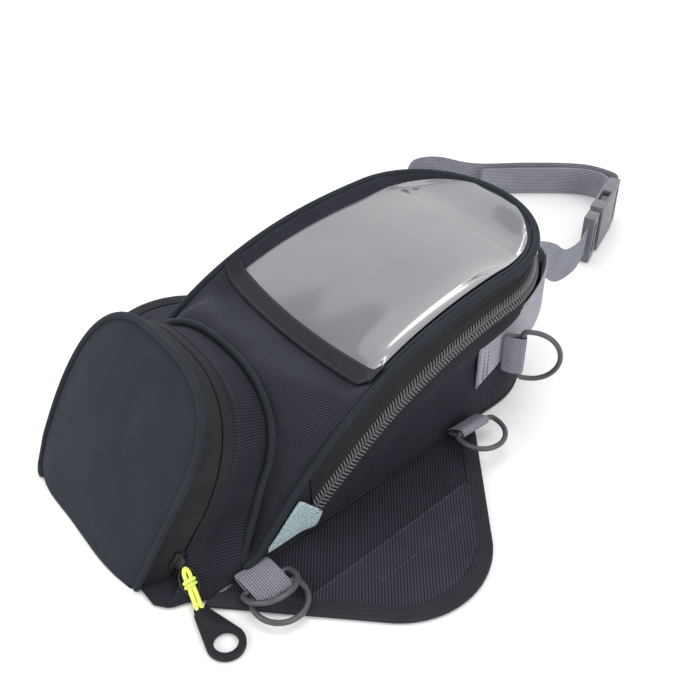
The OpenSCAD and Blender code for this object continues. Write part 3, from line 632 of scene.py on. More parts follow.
# %% Edge piping
PIPE_R, PIPE_DROP, PIPE_GAP = 2.9, 0.8, 0.2
edge_line = [side_point(s, edge_z(s[1]) - PIPE_DROP, PIPE_R + PIPE_GAP) for s in rim_stations(FRONT_Y + 1)]
edge_piping = sew("edge_piping", tube_table(edge_line, PIPE_R), 0, twill_cloth, "fabric", None,
                  "nose_piping", "lid_piping")
fold_with_lid(edge_piping)

# %% [markdown]
# ## Side wall and base
# The wall stands on the base sheet and ends behind the zip. In front of the zip it reaches up to the
# piping, and between the two it follows the slanting cut of the lid. It sags a little between its
# seams, which a repeatable noise adds. A plain lining inside hides its back when the lid is open.
# The base is a flat sheet with a rubbery coat.

# %% Side wall
ZIP_START = -92.0
HEM_OUT, HEM_DROP, HEM_REACH = 5.6, 13.5, 24.0
WALL_LOW, WALL_IN, WALL_SAG = 2.6, 0.2, 0.6
LINING_LOW, LINING_IN = 3.0, 3.0
WALL_K = [0, 0.1, 0.2, 0.3, 0.4, 0.5, 0.58, 0.66, 0.72, 0.77, 0.82, 0.86, 0.9, 0.94, 0.97, 1.0]


def wall_top(y):
    return min(edge_z(y) - 3.0, max(cut_z(y) - 1, zip_z(y) - 0.6))


def wall_point(s, k):
    """A point of the wall; below the zip a hem stands out."""
    z = lerp(WALL_LOW, wall_top(s[1]), k)
    belly = math.sin(math.pi * k)
    below = zip_z(s[1]) - z
    hem = HEM_OUT * ease((below - HEM_DROP + 3) / 3.5) * ease((HEM_REACH + HEM_DROP - below) / HEM_REACH)
    hem *= ease((s[1] - ZIP_START + 6) / 24) * min(1.0, zip_z(s[1]) / 45)
    return side_point(s, z, hem - WALL_IN + belly * (flutter((s[0], s[1], z), 2.0, 34) - WALL_SAG))


def lining_point(s, k):
    return side_point(s, lerp(LINING_LOW, wall_top(s[1]) - 1.0, k), -LINING_IN)


wall_stations = rim_stations(FRONT_Y + 0.5)
wall_table = grid(wall_point, wall_stations, WALL_K)
sew("side_wall", wall_table, 2.0, ribbed_cloth, "fabric", "bag", "side_gusset")
lining_table = grid(lining_point, wall_stations, spaced(0, 1, 10))
sew("side_lining", lining_table, 0.6, ribbed_cloth, "fabric", "bag")

# %% Base
BASE_FRONT, BASE_L, BASE_Z = -145.6, 73, 2.3
base_rows = [BASE_FRONT] + spaced(-140, ROUND_Y, 20)[:-1]
base_rows += [ROUND_Y + BASE_L * math.sin(a) for a in arc(QUARTER, 14)]


def base_point(t, y):
    half = half_width(y) + FLARE
    if y > ROUND_Y:
        half = (HALF_REAR + FLARE) * math.sqrt(max(0.0, 1 - ((y - ROUND_Y) / (ROUND_L + FLARE)) ** 2))
    return Vector((t * half, y, BASE_Z))


base_table = grid(base_point, cols_t, base_rows)
sew("base_sheet", base_table, 2.2, base_rubber, "base_rubber", "bag", "base_panel")

# %% [markdown]
# ## Main zip
# A closed coil zip shows two rows of slanting loops. Each row is one continuous nylon spiral sewn to
# a tape, so each is a thin tube wound along the zip line, and the two start half a turn apart so
# that they mesh. The upper tape fills the strip up to the piping. The upper tape and spiral stay
# where they are, on no body; the lower tape and spiral ride on the bag, where the real zip ends.

# %% Zip tapes
TAPE_THICK = 0.7
UPPER_K = (0, 0.15, 0.3, 0.42, 0.47, 0.52, 0.57, 0.62, 0.75, 0.9, 1)
zip_stations = rim_stations(ZIP_START, step=3.0)


def tape_out(s):
    """How far the zip stands out of the wall; its front end lies flat."""
    return lerp(1.2, 3.2, ease((s[1] - ZIP_START) / 30))


def upper_point(s, k):
    """The tape above the zip, with the groove of a seam halfway up."""
    z = lerp(zip_z(s[1]) + 0.6, edge_z(s[1]) - 2.2, k)
    groove = -1.3 * math.exp(-((k - 0.52) / 0.06) ** 2)
    return side_point(s, z, lerp(tape_out(s) - 0.3, 0.9, ease(k)) + groove)


def lower_point(s, k):
    """The tape below the zip, down to the hem of the wall."""
    return side_point(s, zip_z(s[1]) - lerp(HEM_DROP + 1, 0.4, k), tape_out(s) + lerp(2.0, -0.3, k))


upper = grid(upper_point, zip_stations, UPPER_K)
upper_tape = sew("upper_tape", upper, TAPE_THICK, zip_tape, "zip_tape", None, "zip_tape_upper", "lid_rim")
fold_with_lid(upper_tape)
lower = grid(lower_point, zip_stations, spaced(0, 1, 4))
sew("lower_tape", lower, TAPE_THICK, zip_tape, "zip_tape", "bag", "zip_tape_lower")

# %% Zip spirals
COIL_PITCH, COIL_POINTS, COIL_WIRE = 2.6, 8, 0.74
COIL_HIGH, COIL_DEEP, COIL_LIFT, COIL_LEAN = 2.7, 1.1, 2.3, 1.2


def spiral(lift, phase, lean):
    """A nylon spiral along the zip line, as a tube."""
    stations = rim_stations(ZIP_START + 0.5, step=0.5, turns=170)
    line = [side_point(s, zip_z(s[1]) + lift, tape_out(s) + 0.9 - 0.4 * lift) for s in stations]
    out = []
    for i, p, t, way in walk(line, COIL_PITCH / COIL_POINTS):
        outward = Vector((stations[i][2], stations[i][3], 0))
        rise = (outward.cross(t).normalized() - outward * 0.4).normalized()
        a = 2 * math.pi * way / COIL_PITCH + phase
        up = math.sin(a)
        out.append(p + rise * up * COIL_HIGH + outward * math.cos(a) * COIL_DEEP + t * up * lean)
    return tube_table(out, COIL_WIRE, sides=5)


sew("lower_spiral", spiral(-COIL_LIFT, 0.0, -COIL_LEAN), 0, coil_nylon, "zip_coil", "bag", "zip_coil_lower",
    smooth=0)
upper_spiral = sew("upper_spiral", spiral(COIL_LIFT, math.pi, COIL_LEAN), 0, coil_nylon, "zip_coil", None,
                   "zip_coil_upper", smooth=0)
fold_with_lid(upper_spiral)

# %% [markdown]
# ## Window
# A clear sheet covers the rear of the lid and waves a little between its seams. Along the right rim
# it is pulled taut and spans the hollow of the panel, and the bend there is what catches the light.
# A woven tape binds its front edge in a shallow bow.

# %% Window sheet
WINDOW_REAR, SHEET_UP, REAR_SEAM_Y = REAR_Y - 3.5, 1.8, 113
SPAN_FROM, SPAN_TO = 0.55, 0.942
BIND_Y, BIND_BOW = -40.0, 7
RIM_STEPS = (4.6, 5.4, 6.2, 7.0, 7.9, 9.2, 10.6, 12.0, 13.4, 14.8, 16.4, 18.4, 21.0, 25.0)


def bound_y(t):
    return BIND_Y + BIND_BOW * t * t


def span(t, y):
    """How far the taut sheet stands above the hollow of the panel along its right rim."""
    share = min(max((t - SPAN_FROM) / (SPAN_TO - SPAN_FROM), 0.0), 1.0)
    taut = lerp(panel_z(SPAN_FROM, y), panel_z(SPAN_TO, y), share ** 1.7)
    return max(taut - panel_z(t, y), 0.0)


def window_point(t, k):
    y0 = bound_y(t)
    y = y0 + (WINDOW_REAR - y0) * k
    half = half_width(y)
    near = (1 - abs(t)) * half
    lip = ease((18 - near) / 8) * ease((near - 3) / 5) * (0.85 + flutter((t * 9, y, 3), 0.5, 60))
    lip = (lip + span(t, y) * ease(k / 0.12)) * ease((115 - y) / 50) * (t > 0)
    wave_z = 0.7 * noise.noise(Vector((t * 1.9, y / 58, 5.0))) * (1 - abs(t) ** 3) * ease(k / 0.1)
    seam = -0.5 * math.exp(-((y - REAR_SEAM_Y) / 1.6) ** 2) - 1.2 * ease((y - REAR_SEAM_Y + 1) / 30)
    return Vector((t * half, y, panel_z(t, y) + SHEET_UP + lip + wave_z + seam))


def window_row(k):
    """One row of the sheet; it stops short of the left rim, and its columns are close at the right."""
    half = half_width(lerp(BIND_Y + BIND_BOW, WINDOW_REAR, k))
    right = [1 - d * min(1.0, half / 50) / half for d in RIM_STEPS]
    left = min(lerp(3.0, 7.5, ease((1 - k) / 0.45)), half * 0.2)
    inner = spaced(left / half - 1, right[-1], 26)[:-1]
    return [window_point(t, k) for t in inner + right[::-1]]


window_k = spaced(0, 1, 64)[:58] + [0.89 + 0.11 * math.sin(a) for a in arc(QUARTER, 14)[1:]]
window_table = [window_row(k) for k in window_k]
sew("window", window_table, 0.6, window_clear, "clear_sheet", "lid", "window_sheet")

# %% Window binding
BIND_W, BIND_FRONT, BIND_UP, BIND_CROWN, BIND_END = 13.5, 6.0, 2.9, 0.5, 0.985


def binding_point(t, k):
    y = bound_y(t) - BIND_FRONT + BIND_W * k
    crown = BIND_CROWN * math.sin(math.pi * k)
    return Vector((t * half_width(y), y, panel_z(t, y) + BIND_UP + crown + swell(t, y)))


bind_table = grid(binding_point, [BIND_END * t for t in bunched(16)], spaced(0, 1, 5))
sew("window_edge", bind_table, 0.8, edge_tape, "zip_tape", "lid", "window_binding")

# %% [markdown]
# ## Stitching
# A sewing machine leaves a row of short dashes. The thread itself is unbroken: it lies on the cloth
# for most of each stitch and then dives under it. So one thin tube follows the seam and goes up and
# down, which costs less than hundreds of separate stitches. The binding has a row along each side.

# %% Stitching
STITCH = (-0.7, 0.1, 0.28, 0.28, 0.1, -0.7)
STITCH_L, THREAD_R = 3.4, 0.34


def stitches(name, line, finish, slot, body, up=(0, 0, 1)):
    """One thread along a line; up points away from the cloth."""
    steps = enumerate(walk(line, STITCH_L / len(STITCH)))
    out = [p + Vector(up) * STITCH[n % len(STITCH)] for n, (_, p, _, _) in steps]
    sew(name, tube_table(out, THREAD_R, 5), 0, finish, slot, body, smooth=0)


for share, name in ((0.14, "front"), (0.86, "rear")):
    seam = [binding_point(t, share) for t in spaced(-0.95, 0.95, 80)]
    stitches("binding_seam_" + name, seam, seam_thread, "zip_tape", "lid")

# %% [markdown]
# ## Front pouch
# The pouch is a leaning face and a leaning back joined by a gusset that tapers towards the top. The
# zip runs round the gusset a third of the way back. In front of it lies the door: face, piping and a
# strip of zip tape. Every ring round the pouch is a blend of the outlines before and behind it. A
# soft bag is never quite even: this face sags to the left and stands square at its right upper
# corner, and the gusset spreads where it meets the floor.

# %% Pouch outlines
POUCH_Y, FACE_LEAN = -208.0, math.radians(26.6)
BACK_Y, BACK_LEAN = -147.4, math.radians(30.1)
ZIP_AT, FACE_TOP, BACK_TOP, BACK_MID = 0.36, 147.5, 106, 45
FOOT, OVER_STEP = 4, 3.75
FACE_ARCH = {1: (57, 69, 92, FACE_TOP, 3.0, 3), -1: (72, 75, 26, FACE_TOP, 2.5, 9)}
PLAIN_ARCH = (65, 74, 66, FACE_TOP, 2.7, 6)
BACK_ARCH = (66, 71, BACK_MID, BACK_TOP, 2.4, 6)
SPREAD_ARCH = (87, 74, 60, 112, 2.3, 4)


def half_outline(foot, wide, mid, top, power, corner, off):
    """Half an arch: along the floor, round the corner, up to the widest height and over to the top."""
    pts = [Vector((x, -off)) for x in (0, foot / 3, foot - corner)]
    reach = corner + off
    for i in range(1, 6):
        a = math.radians(-90 + 18 * i)
        pts.append(Vector((foot - corner + reach * math.cos(a), corner + reach * math.sin(a))))
    pts += [Vector((foot + off, corner)).lerp(Vector((wide + off, mid)), i / 7) for i in range(1, 8)]
    for i in range(1, 25):
        q = math.radians(i * OVER_STEP)
        pts.append(Vector(((wide + off) * max(0.0, math.cos(q)) ** (2 / power),
                           mid + (top + off - mid) * math.sin(q) ** (2 / power))))
    pts[-1].x = 0.0
    return pts


def leaning(side, arch, off, y, lean):
    return [Vector((side * p.x, y + p.y * math.sin(lean), p.y * math.cos(lean)))
            for p in half_outline(*arch, off)]


def mix(a, b, f):
    return [p.lerp(q, f) for p, q in zip(a, b)]


def pouch_half(side, f, off):
    """Half a ring: the leaning face, then the zip line, then the back, which spreads at the floor."""
    zip_ring = mix(leaning(side, PLAIN_ARCH, off, POUCH_Y, FACE_LEAN),
                   leaning(side, BACK_ARCH, off, BACK_Y, BACK_LEAN), ZIP_AT)
    if f < ZIP_AT:
        return mix(leaning(side, FACE_ARCH[side], off, POUCH_Y, FACE_LEAN), zip_ring, f / ZIP_AT)
    back = leaning(side, SPREAD_ARCH, off, BACK_Y, BACK_LEAN)
    return mix(zip_ring, back, (f - ZIP_AT) / (1 - ZIP_AT))


def pouch_ring(f, off):
    """Points round the pouch at a share f of its depth, from the right foot over the top to the left."""
    return pouch_half(1, f, off) + pouch_half(-1, f, off)[-2::-1]


RING_COUNT = len(pouch_ring(0, 0))
ARCH = slice(FOOT, RING_COUNT - FOOT)
print("points round the pouch:", RING_COUNT)

# %% Pouch face
FACE_LOW, FACE_MID, FACE_PUFF, FACE_IN = -1.8, 66, 4.7, 0.6


def arch_half(arch, h):
    """Half the width of an arch at height h."""
    foot, wide, mid, top, power, corner = arch
    if h < corner:
        return foot - corner + math.sqrt(max(0.0, corner ** 2 - (corner - max(0.0, h)) ** 2))
    if h < mid:
        return lerp(foot, wide, (h - corner) / (mid - corner))
    return wide * max(0.0, 1 - ((h - mid) / (top - mid)) ** power) ** (1 / power)


def face_point(t, h, share=1.0):
    """A point of the face before it is puffed; its height is measured along the lean."""
    x = t * (arch_half(FACE_ARCH[1 if t > 0 else -1], h) + 1.5)
    soft = (1 - abs(t) ** 5) * (1 - max(0.0, 2 * h / FACE_TOP - 1) ** 6)
    puff_here = 1.0 + 0.3 * math.exp(-((x + 12) / 26) ** 2 - ((h - 96) / 30) ** 2)
    lift = (FACE_PUFF * puff_here + flutter((x, h, 7), 1.6, 46)) * soft * share - FACE_IN
    y = POUCH_Y + h * math.sin(FACE_LEAN) - lift * math.cos(FACE_LEAN)
    return Vector((x, y, max(0.4, h * math.cos(FACE_LEAN) + lift * math.sin(FACE_LEAN))))


def over_the_top(mid, top, power, step, n):
    """Heights from an arch's widest place to its top, closer together towards the top."""
    return [lerp(mid, top, math.sin(math.radians(q * step)) ** (2 / power)) for q in range(1, n + 1)]


face_rows = [(FACE_LOW, 0.0), (FACE_LOW, 0.5), (FACE_LOW, 0.85), (-1, 1), (0.5, 1), (3, 1), (6, 1), (9, 1)]
face_rows += [(h, 1) for h in spaced(12, FACE_MID, 14)]
face_rows += [(h, 1) for h in over_the_top(FACE_MID, FACE_TOP + 1, 2.6, OVER_STEP, 24)]
face_t = bunched(16)
pouch_face = lay_out("pouch_front", [[face_point(t, h, share) for t in face_t] for h, share in face_rows])
weld(pouch_face)
print("pouch face:", len(pouch_face.data.vertices), "points")

# %% [markdown]
# The face has a layer of foam, so it swells like a cushion between its sewn edges. Blender's cloth
# does that: the rim is held, a little air pressure pushes the rest out, and after twenty frames the
# result is kept. How far a point may move is capped, so that the face stays within its solid.

# %% Puffed face
PRESSURE, PUFF_CAP, PUFF_FRAMES, HELD_BELOW = 4.0, 4.0, 20, 8


def rim_points(piece):
    """Points on the open edge of a sheet."""
    uses = {}
    for face in piece.data.polygons:
        for key in face.edge_keys:
            uses[key] = uses.get(key, 0) + 1
    return {i for key, n in uses.items() if n == 1 for i in key}


def puff(piece, held):
    """Lets air push a sheet out while some of its points are held."""
    before = [v.co.copy() for v in piece.data.vertices]
    piece.vertex_groups.new(name="held").add(sorted(held), 1.0, "REPLACE")
    pick(piece)
    cloth = piece.modifiers.new("air", "CLOTH").settings
    cloth.vertex_group_mass = "held"
    cloth.use_pressure = True
    cloth.uniform_pressure_force = PRESSURE
    cloth.effector_weights.gravity = 0
    cloth.quality = 8
    for step in range(1, PUFF_FRAMES + 1):
        bpy.context.scene.frame_set(step)
    bpy.ops.object.modifier_apply(modifier="air")
    bpy.context.scene.frame_set(1)
    moves = []
    for point, old in zip(piece.data.vertices, before):
        move = point.co - old
        moves.append(move.length / MM)
        if move.length > PUFF_CAP * MM:
            point.co = old + move.normalized() * PUFF_CAP * MM
    piece.vertex_groups.clear()
    average = sum(moves) / len(moves)
    print(piece.name, "moved", round(average, 2), "mm on average, at most", round(max(moves), 2))


low_points = {v.index for v in pouch_face.data.vertices if v.co.z < HELD_BELOW * MM}
puff(pouch_face, rim_points(pouch_face) | low_points)
shape_up(pouch_face, 1.3)
dress(pouch_face, twill_cloth, "fabric", "pouch_door", "pouch_face")

# %% [markdown]
# Both edges of the gusset carry a piping, and a strip of tape lies on each side of the pouch's zip.
# The gusset itself starts under the rear strip and, near the floor, further forward. Its cloth sags
# between the seams and runs out over the floor to meet the wing.

# %% Pouch piping
POUCH_PIPE_R, PIPE_FLOOR = 2.5, 2.3


def off_floor(points):
    return [Vector((p.x, p.y, max(PIPE_FLOOR, p.z))) for p in points]


face_pipe = tube_table(off_floor(pouch_ring(0.012, 2.6)[7:-3]), POUCH_PIPE_R)
sew("pouch_front_piping", face_pipe, 0, twill_cloth, "fabric", "pouch_door", "pouch_face_piping")
back_line = off_floor(pouch_ring(0.955, 2.4)[ARCH])
to_end = [min(i, len(back_line) - 1 - i) for i in range(len(back_line))]
back_r = [lerp(0.9, POUCH_PIPE_R, ease(i / 6)) for i in to_end]
sew("pouch_back_piping_tube", tube_table(back_line, back_r), 0, twill_cloth, "fabric", "bag",
    "pouch_back_piping")

# %% Pouch zip strips
DOOR_STOPS = ((0.02, 1.0), (0.08, 1.2), (0.16, 0.9), (0.25, 1.1), (0.33, 1.5), (0.352, 1.2))
BAG_STOPS = ((0.362, 1.2), (0.385, 1.5), (0.44, 1.1), (0.51, 1.0))


def strip(name, stops, thick, body, node):
    """A strip round the arch of the pouch through pairs of depth share and offset."""
    table = [pouch_ring(f, off)[ARCH] for f, off in reversed(stops)]
    sew(name, table, thick, zip_tape, "zip_tape", body, node)


strip("door_strip", DOOR_STOPS, 1.0, "pouch_door", "pouch_rim")
strip("bag_strip", BAG_STOPS, 0.7, "bag", "pouch_zip_tape")

# %% Pouch gusset
GUSSET_START, GUSSET_FOOT, GUSSET_END = 0.372, 0.06, 0.985
GUSSET_K = (0.0, 0.1, 0.19, 0.225, 0.24, 0.27, 0.32, 0.38, 0.45, 0.52, 0.6, 0.68, 0.76, 0.84, 0.91, 0.96, 1)
SPREAD_TO, SPREAD_H = 95.5, 27
ring_cache = {}


def gusset_share(j, k):
    """Depth share of point j in row k; near the floor the gusset starts further forward."""
    foot = max(0.0, 1 - min(j, RING_COUNT - 1 - j) / 9)
    return lerp(lerp(GUSSET_START, GUSSET_FOOT, ease(foot * 2.2)), GUSSET_END, k)


def foot_spread(f, x, z):
    """How far the gusset's cloth runs out over the floor, to meet the wing."""
    front = lerp(8, 27, ease((f + 0.02) / 0.14))
    return min(front, max(0.0, SPREAD_TO - abs(x))) * max(0.0, 1 - z / SPREAD_H) ** 1.8


def gusset_point(j, f):
    hem = 1.9 * (1 - ease((f - 0.53) / 0.1)) if f >= 0.508 else 0.2
    sag = -2.2 * math.sin(math.pi * max(0.0, (f - 0.52) / 0.465))
    key = (round(f, 4), round(hem + sag, 3))
    if key not in ring_cache:
        ring_cache[key] = pouch_ring(f, hem + sag)
    p = ring_cache[key][j]
    side = 1 if p.x > 0 else -1
    spread = foot_spread(f, p.x, max(0.0, p.z)) * ease(abs(p.x) / 50)
    if side < 0:
        spread *= lerp(0.3, 1.0, ease((f - 0.25) / 0.4))
    fold = flutter(p, 2.0, 26) * ease(p.z / 30) * ease((f - 0.55) / 0.1)
    return Vector((p.x + side * (spread + fold), p.y, max(1.6, p.z + 0.3 * fold)))


gusset_rows = [[gusset_point(j, gusset_share(j, k)) for j in range(RING_COUNT)] for k in GUSSET_K]
gusset_table = [row + [row[0]] for row in reversed(gusset_rows)]
sew("pouch_wall", gusset_table, 1.4, ribbed_cloth, "fabric", "bag", "pouch_gusset", even=True)

# %% Pouch back and floor
POUCH_FLOOR_X, POUCH_FLOOR_Y = (-49, -30, -10, 10, 30, 49), (-206.5, -200, -194, -188.5)
FLOOR_SHEET_Z = 1.5


def back_point(t, h):
    y = BACK_Y - 0.3 + h * math.sin(BACK_LEAN)
    return Vector((t * arch_half(BACK_ARCH, h), y, h * math.cos(BACK_LEAN)))


back_h = [0.2, 3, 6, 25, BACK_MID] + over_the_top(BACK_MID, BACK_TOP, 2.4, 9, 10)
sew("pouch_rear", grid(back_point, face_t, back_h), 1.3, pack_cloth, "fabric", "bag", "pouch_back",
    offset=1.0)
floor_table = [[Vector((x, y, FLOOR_SHEET_Z)) for x in POUCH_FLOOR_X] for y in POUCH_FLOOR_Y]
sew("pouch_bottom", floor_table, 1.3, pack_cloth, "fabric", "bag", "pouch_floor")

# %% [markdown]
# A fold of cloth under the door joins the pouch's floor to its face. It belongs to both, so it rides
# on neither and stays where it is.

# %% Fold under the door
FOLD_X = (-62, -48, -32, -16, 0, 16, 32, 46, 54)
FOLD_PATH = [(-198, 2.0), (-201, 2.0), (-204, 2.0), (-205.6, 2.3), (-205.8, 3.6), (-205.0, 6.0),
             (-203.8, 8.4)]
fold_table = [[Vector((x, y, z)) for x in FOLD_X] for y, z in reversed(FOLD_PATH)]
door_fold = sew("door_fold", fold_table, 1.0, pack_cloth, "fabric", None)
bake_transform(door_fold)

# %% [markdown]
# ## Pale tabs
# A pale woven tab covers each front end of the zip. It is wide where the zip ends and runs to a
# point down at the floor, between the piping and the wing.

# %% Zip end tabs
TAB_NODES = {1: ("zip_end_tabs",), -1: ()}


def tab_point(side, g, k):
    """A tab on the wall between a lower edge, which turns up at the rear, and a rising upper edge."""
    low = Vector((lerp(-130, -85.5, g), 8.2 + 10 * ease((g - 0.84) / 0.16)))
    high = Vector((lerp(-129, -102, g), lerp(11.5, 35.5, g ** 1.1)))
    y, z = low.lerp(high, k)
    return side_point(side_station(side, y), z, 1.5 + 3.2 * ease((y + 104) / 14))


for side, name in SIDES:
    table = [[tab_point(side, g, k) for g in spaced(0, 1, 14)] for k in facing(side, spaced(0, 1, 5))]
    sew("zip_tab_" + name, table, 0.9, mint_tape, "mint_tab", "bag", *TAB_NODES[side])

# %% [markdown]
# ## Wings
# A flat flap lies on each side, with magnets sewn in to hold it on a steel tank. Rows run along the
# seam at the bag and columns out to the bound edge. Beyond a crease along its length the cloth is
# doubled, and the stitching of the magnet pocket sinks in; the doubled part's cloth is painted
# lighter, a painted highlight. A bound tape wraps the free edge.

# %% Wing shape
WING_X, WING_Y, WING_TURN = 88.627, -60.0, math.radians(3.468)
REACH, TIP_R, ROOT = 104.0, 61.0, 240.0
TIP_C = REACH - TIP_R
EDGE_TURN = math.atan2(ROOT / 2, -TIP_C) - math.acos(TIP_R / math.hypot(TIP_C, ROOT / 2))
PLATE, CREASE, DOUBLE_END, DOUBLE_UP = 2.8, 38.5, 72, 1.0
POCKET_X, POCKET_Y, POCKET_HX, POCKET_HY, POCKET_FROM = 50, 10, 10.5, 39, 41


def wing_edge(n):
    """The free edge from the front corner round the tip to the rear corner, in the wing's own plane."""
    rear = Vector((0, ROOT / 2))
    turn = [Vector((TIP_C + TIP_R * math.cos(a), TIP_R * math.sin(a)))
            for a in spaced(-EDGE_TURN, EDGE_TURN, 2 * n)]
    return ([(-rear).lerp(turn[0], i / n) for i in range(n)] + turn[:-1]
            + [turn[-1].lerp(rear, i / n) for i in range(n + 1)])


def on_wing(side, x, y, z):
    c, s = math.cos(WING_TURN), math.sin(WING_TURN)
    return Vector((side * (WING_X + c * x - s * y), WING_Y + s * x + c * y, z))


def ripple(side, x, y):
    return flutter((x, y, side), 0.5, 30)


def pocket(x, y):
    """Relief of the magnet pocket: a low pad inside a sunken line of stitching."""
    d = max(abs(x - POCKET_X) - POCKET_HX, abs(y - POCKET_Y) - POCKET_HY)
    lift = 0.5 * (1 - ease((d + 5) / 5))
    return lift - 0.7 * math.exp(-(d / 0.9) ** 2) * (x > POCKET_FROM)


def wing_reach(y):
    edge = wing_edge(40)
    for a, b in zip(edge, edge[1:]):
        if a.y <= y <= b.y:
            return lerp(a.x, b.x, (y - a.y) / max(1e-9, b.y - a.y))
    return 0.0


def flat_uv(piece, side):
    """A weave that runs straight across a flat piece, as seen from above."""
    uv = piece.data.uv_layers.active.data
    for loop in piece.data.loops:
        co = piece.data.vertices[loop.vertex_index].co
        uv[loop.index].uv = (side * co.x, co.y)
    return piece


def double_row(side, y):
    """The doubled outer part, from the crease to below the bound edge."""
    reach = wing_reach(y) - 6
    row = []
    for x in spaced(CREASE, reach, 40):
        tuck = ease((reach - x - 3) / 4) * ease((DOUBLE_END - abs(y)) / 3)
        z = PLATE + lerp(-0.5, DOUBLE_UP, tuck) + pocket(x, y) * tuck + ripple(side, x, y)
        row.append(on_wing(side, x, y, z))
    return facing(side, row)


def wing_row(side, y):
    """The whole wing, which calms down towards its bound edge."""
    reach = wing_reach(y)
    row = []
    for x in (c * reach for c in spaced(0, 1, 70)):
        row.append(on_wing(side, x, y, PLATE + ripple(side, x, y) * ease((reach - x) / 12)))
    return facing(side, row)


print("wing reach:", round(wing_reach(0), 1), "mm")

# %% Wing panels and binding
TAPE_WRAP = ((-10, 2.9), (-9.4, 3.5), (-5, 3.7), (-0.5, 3.7), (1, 3), (1.1, 1.2), (0.2, 0.25), (-4, 0.15))


def bound_edge(side):
    """Tape wrapped round the free edge: from above the cloth, over the edge and back below."""
    edge = wing_edge(24)
    table = []
    for i, p in enumerate(edge):
        t = (edge[min(i + 1, len(edge) - 1)] - edge[max(i - 1, 0)]).normalized()
        outs = [(p + Vector((t.y, -t.x)) * d, z) for d, z in TAPE_WRAP]
        table.append(facing(-side, [on_wing(side, max(q.x, 0.0), q.y, z) for q, z in outs]))
    return table


for side, name in SIDES:
    body = "wing_" + name
    flat = lay_out("wing_cloth_" + name, [wing_row(side, y) for y in spaced(-119.9, 119.9, 110)])
    dress(shape_up(flat_uv(flat, side), 2.5), wing_cloth, "fabric", body, "wing_" + name)
    flat = lay_out("wing_double_" + name, [double_row(side, y) for y in spaced(-DOUBLE_END, DOUBLE_END, 60)])
    # the doubled part's lighter cloth is a painted highlight
    dress(shape_up(flat_uv(flat, side), 0.9), double_cloth_painted_light, "fabric", body)
    sew("wing_edge_" + name, bound_edge(side), 0.5, edge_tape, "zip_tape", body, "wing_binding_" + name)

# %% Wing seams
far, low, high = POCKET_X + POCKET_HX, POCKET_Y - POCKET_HY, POCKET_Y + POCKET_HY
pocket_path = [(x, low) for x in spaced(POCKET_FROM, far, 12)[:-1]]
pocket_path += [(far, y) for y in spaced(low, high, 50)[:-1]]
pocket_path += [(x, high) for x in spaced(far, POCKET_FROM, 12)]
crease_path = [(CREASE + 2.2, y) for y in spaced(-66, 66, 80)]


def double_point(side, x, y):
    return on_wing(side, x, y, PLATE + DOUBLE_UP + pocket(x, y) + ripple(side, x, y))


for side, name in SIDES:
    for kind, path in (("pocket_seam_", pocket_path), ("crease_seam_", crease_path)):
        seam = [double_point(side, x, y) for x, y in path]
        stitches(kind + name, seam, seam_thread, "fabric", "wing_" + name)

# %% [markdown]
# ## Rings
# Each ring is bent from coated wire, nearly 4 mm thick: a straight bar, two tight bends and half a
# circle. A tube along that closed line is welded into one loop, turned and moved to its bar.

# %% Rings
LEG, BEND, WIRE_R = 7.0, 3.5, 1.95
BAR = (-9.0, -4.5, 0.0, 4.5, 9.0)


def turned(degrees, axis):
    return Matrix.Rotation(math.radians(degrees), 3, axis)


def ring_line(radius):
    corner = radius - BEND
    line = [(0, y) for y in BAR]
    line += [(BEND - BEND * math.cos(a), corner + BEND * math.sin(a)) for a in arc(QUARTER, 6)]
    line += [(LEG + radius * math.sin(a), radius * math.cos(a)) for a in arc(math.pi, 30)]
    line += [(BEND - BEND * math.sin(a), -corner - BEND * math.cos(a)) for a in arc(QUARTER, 6)]
    return [Vector((x, y, 0)) for x, y in line]


REAR_TURN = turned(40, "Z") @ turned(90, "X")
RING_PLACES = {
    "front_ring_outer": (17.25, (117.718, -144.0, 7.3), Matrix.Identity(3)),
    "front_ring_inner": (17.25, (108.718, -144.0, 7.3), turned(-25, "Y")),
    "side_ring": (17.25, (96.854, 45.0, 16.8), Matrix.Identity(3)),
    "rear_ring": (20.75, (92.141, 91.714, 55.0), REAR_TURN),
}
for kind, (radius, place, turn) in RING_PLACES.items():
    for side, name in SIDES:
        line = [mirrored(side, turn @ p + Vector(place)) for p in ring_line(radius)]
        ring = kind + "_" + name
        table = tube_table(line, WIRE_R, 12, closed=True)
        sew("wire_" + ring, table, 0, ring_coat, "ring_metal", ring, ring)

# %% [markdown]
# ## Webbing loops
# A short length of ribbed webbing holds each ring. It runs out from the seam, goes round the ring's
# bar and comes back on itself. The line is drawn from the side and given the width of the webbing.

# %% Webbing loops
LOOP_R, LOOP_START, LOOP_THICK = 2.75, -1.0, 1.1


def fold_line(length):
    """Side view of a loop: out below, round the bar, and back above."""
    line = [(LOOP_START, -1.2), (3, -2.4), (length * 0.6, -LOOP_R)]
    line += [(length + LOOP_R * math.sin(a), -LOOP_R * math.cos(a)) for a in arc(math.pi, 12)]
    return line + [(length * 0.6, LOOP_R), (5.5, LOOP_R - 0.1), (2.5, 1.3), (LOOP_START, 0.3)]


LOOPS = {
    "front_loop": (24.0, 25.0, Matrix.Identity(3), (93.718, -144.0, 7.3)),
    "side_loop": (15.0, 25.0, turned(-30, "Y"), (83.864, 45.0, 9.3)),
    "rear_loop": (12.0, 32.0, REAR_TURN, (82.949, 84.0, 55.0)),
}
for kind, (length, width, turn, place) in LOOPS.items():
    across = spaced(-width / 2, width / 2, 8)
    for side, name in SIDES:
        table = [facing(side, [mirrored(side, turn @ Vector((x, w, z)) + Vector(place)) for w in across])
                 for x, z in fold_line(length)]
        loop = kind + "_" + name
        sew("webbing_" + loop, table, LOOP_THICK, grey_webbing, "grey_webbing", "bag", loop,
            offset=0.0, even=True)
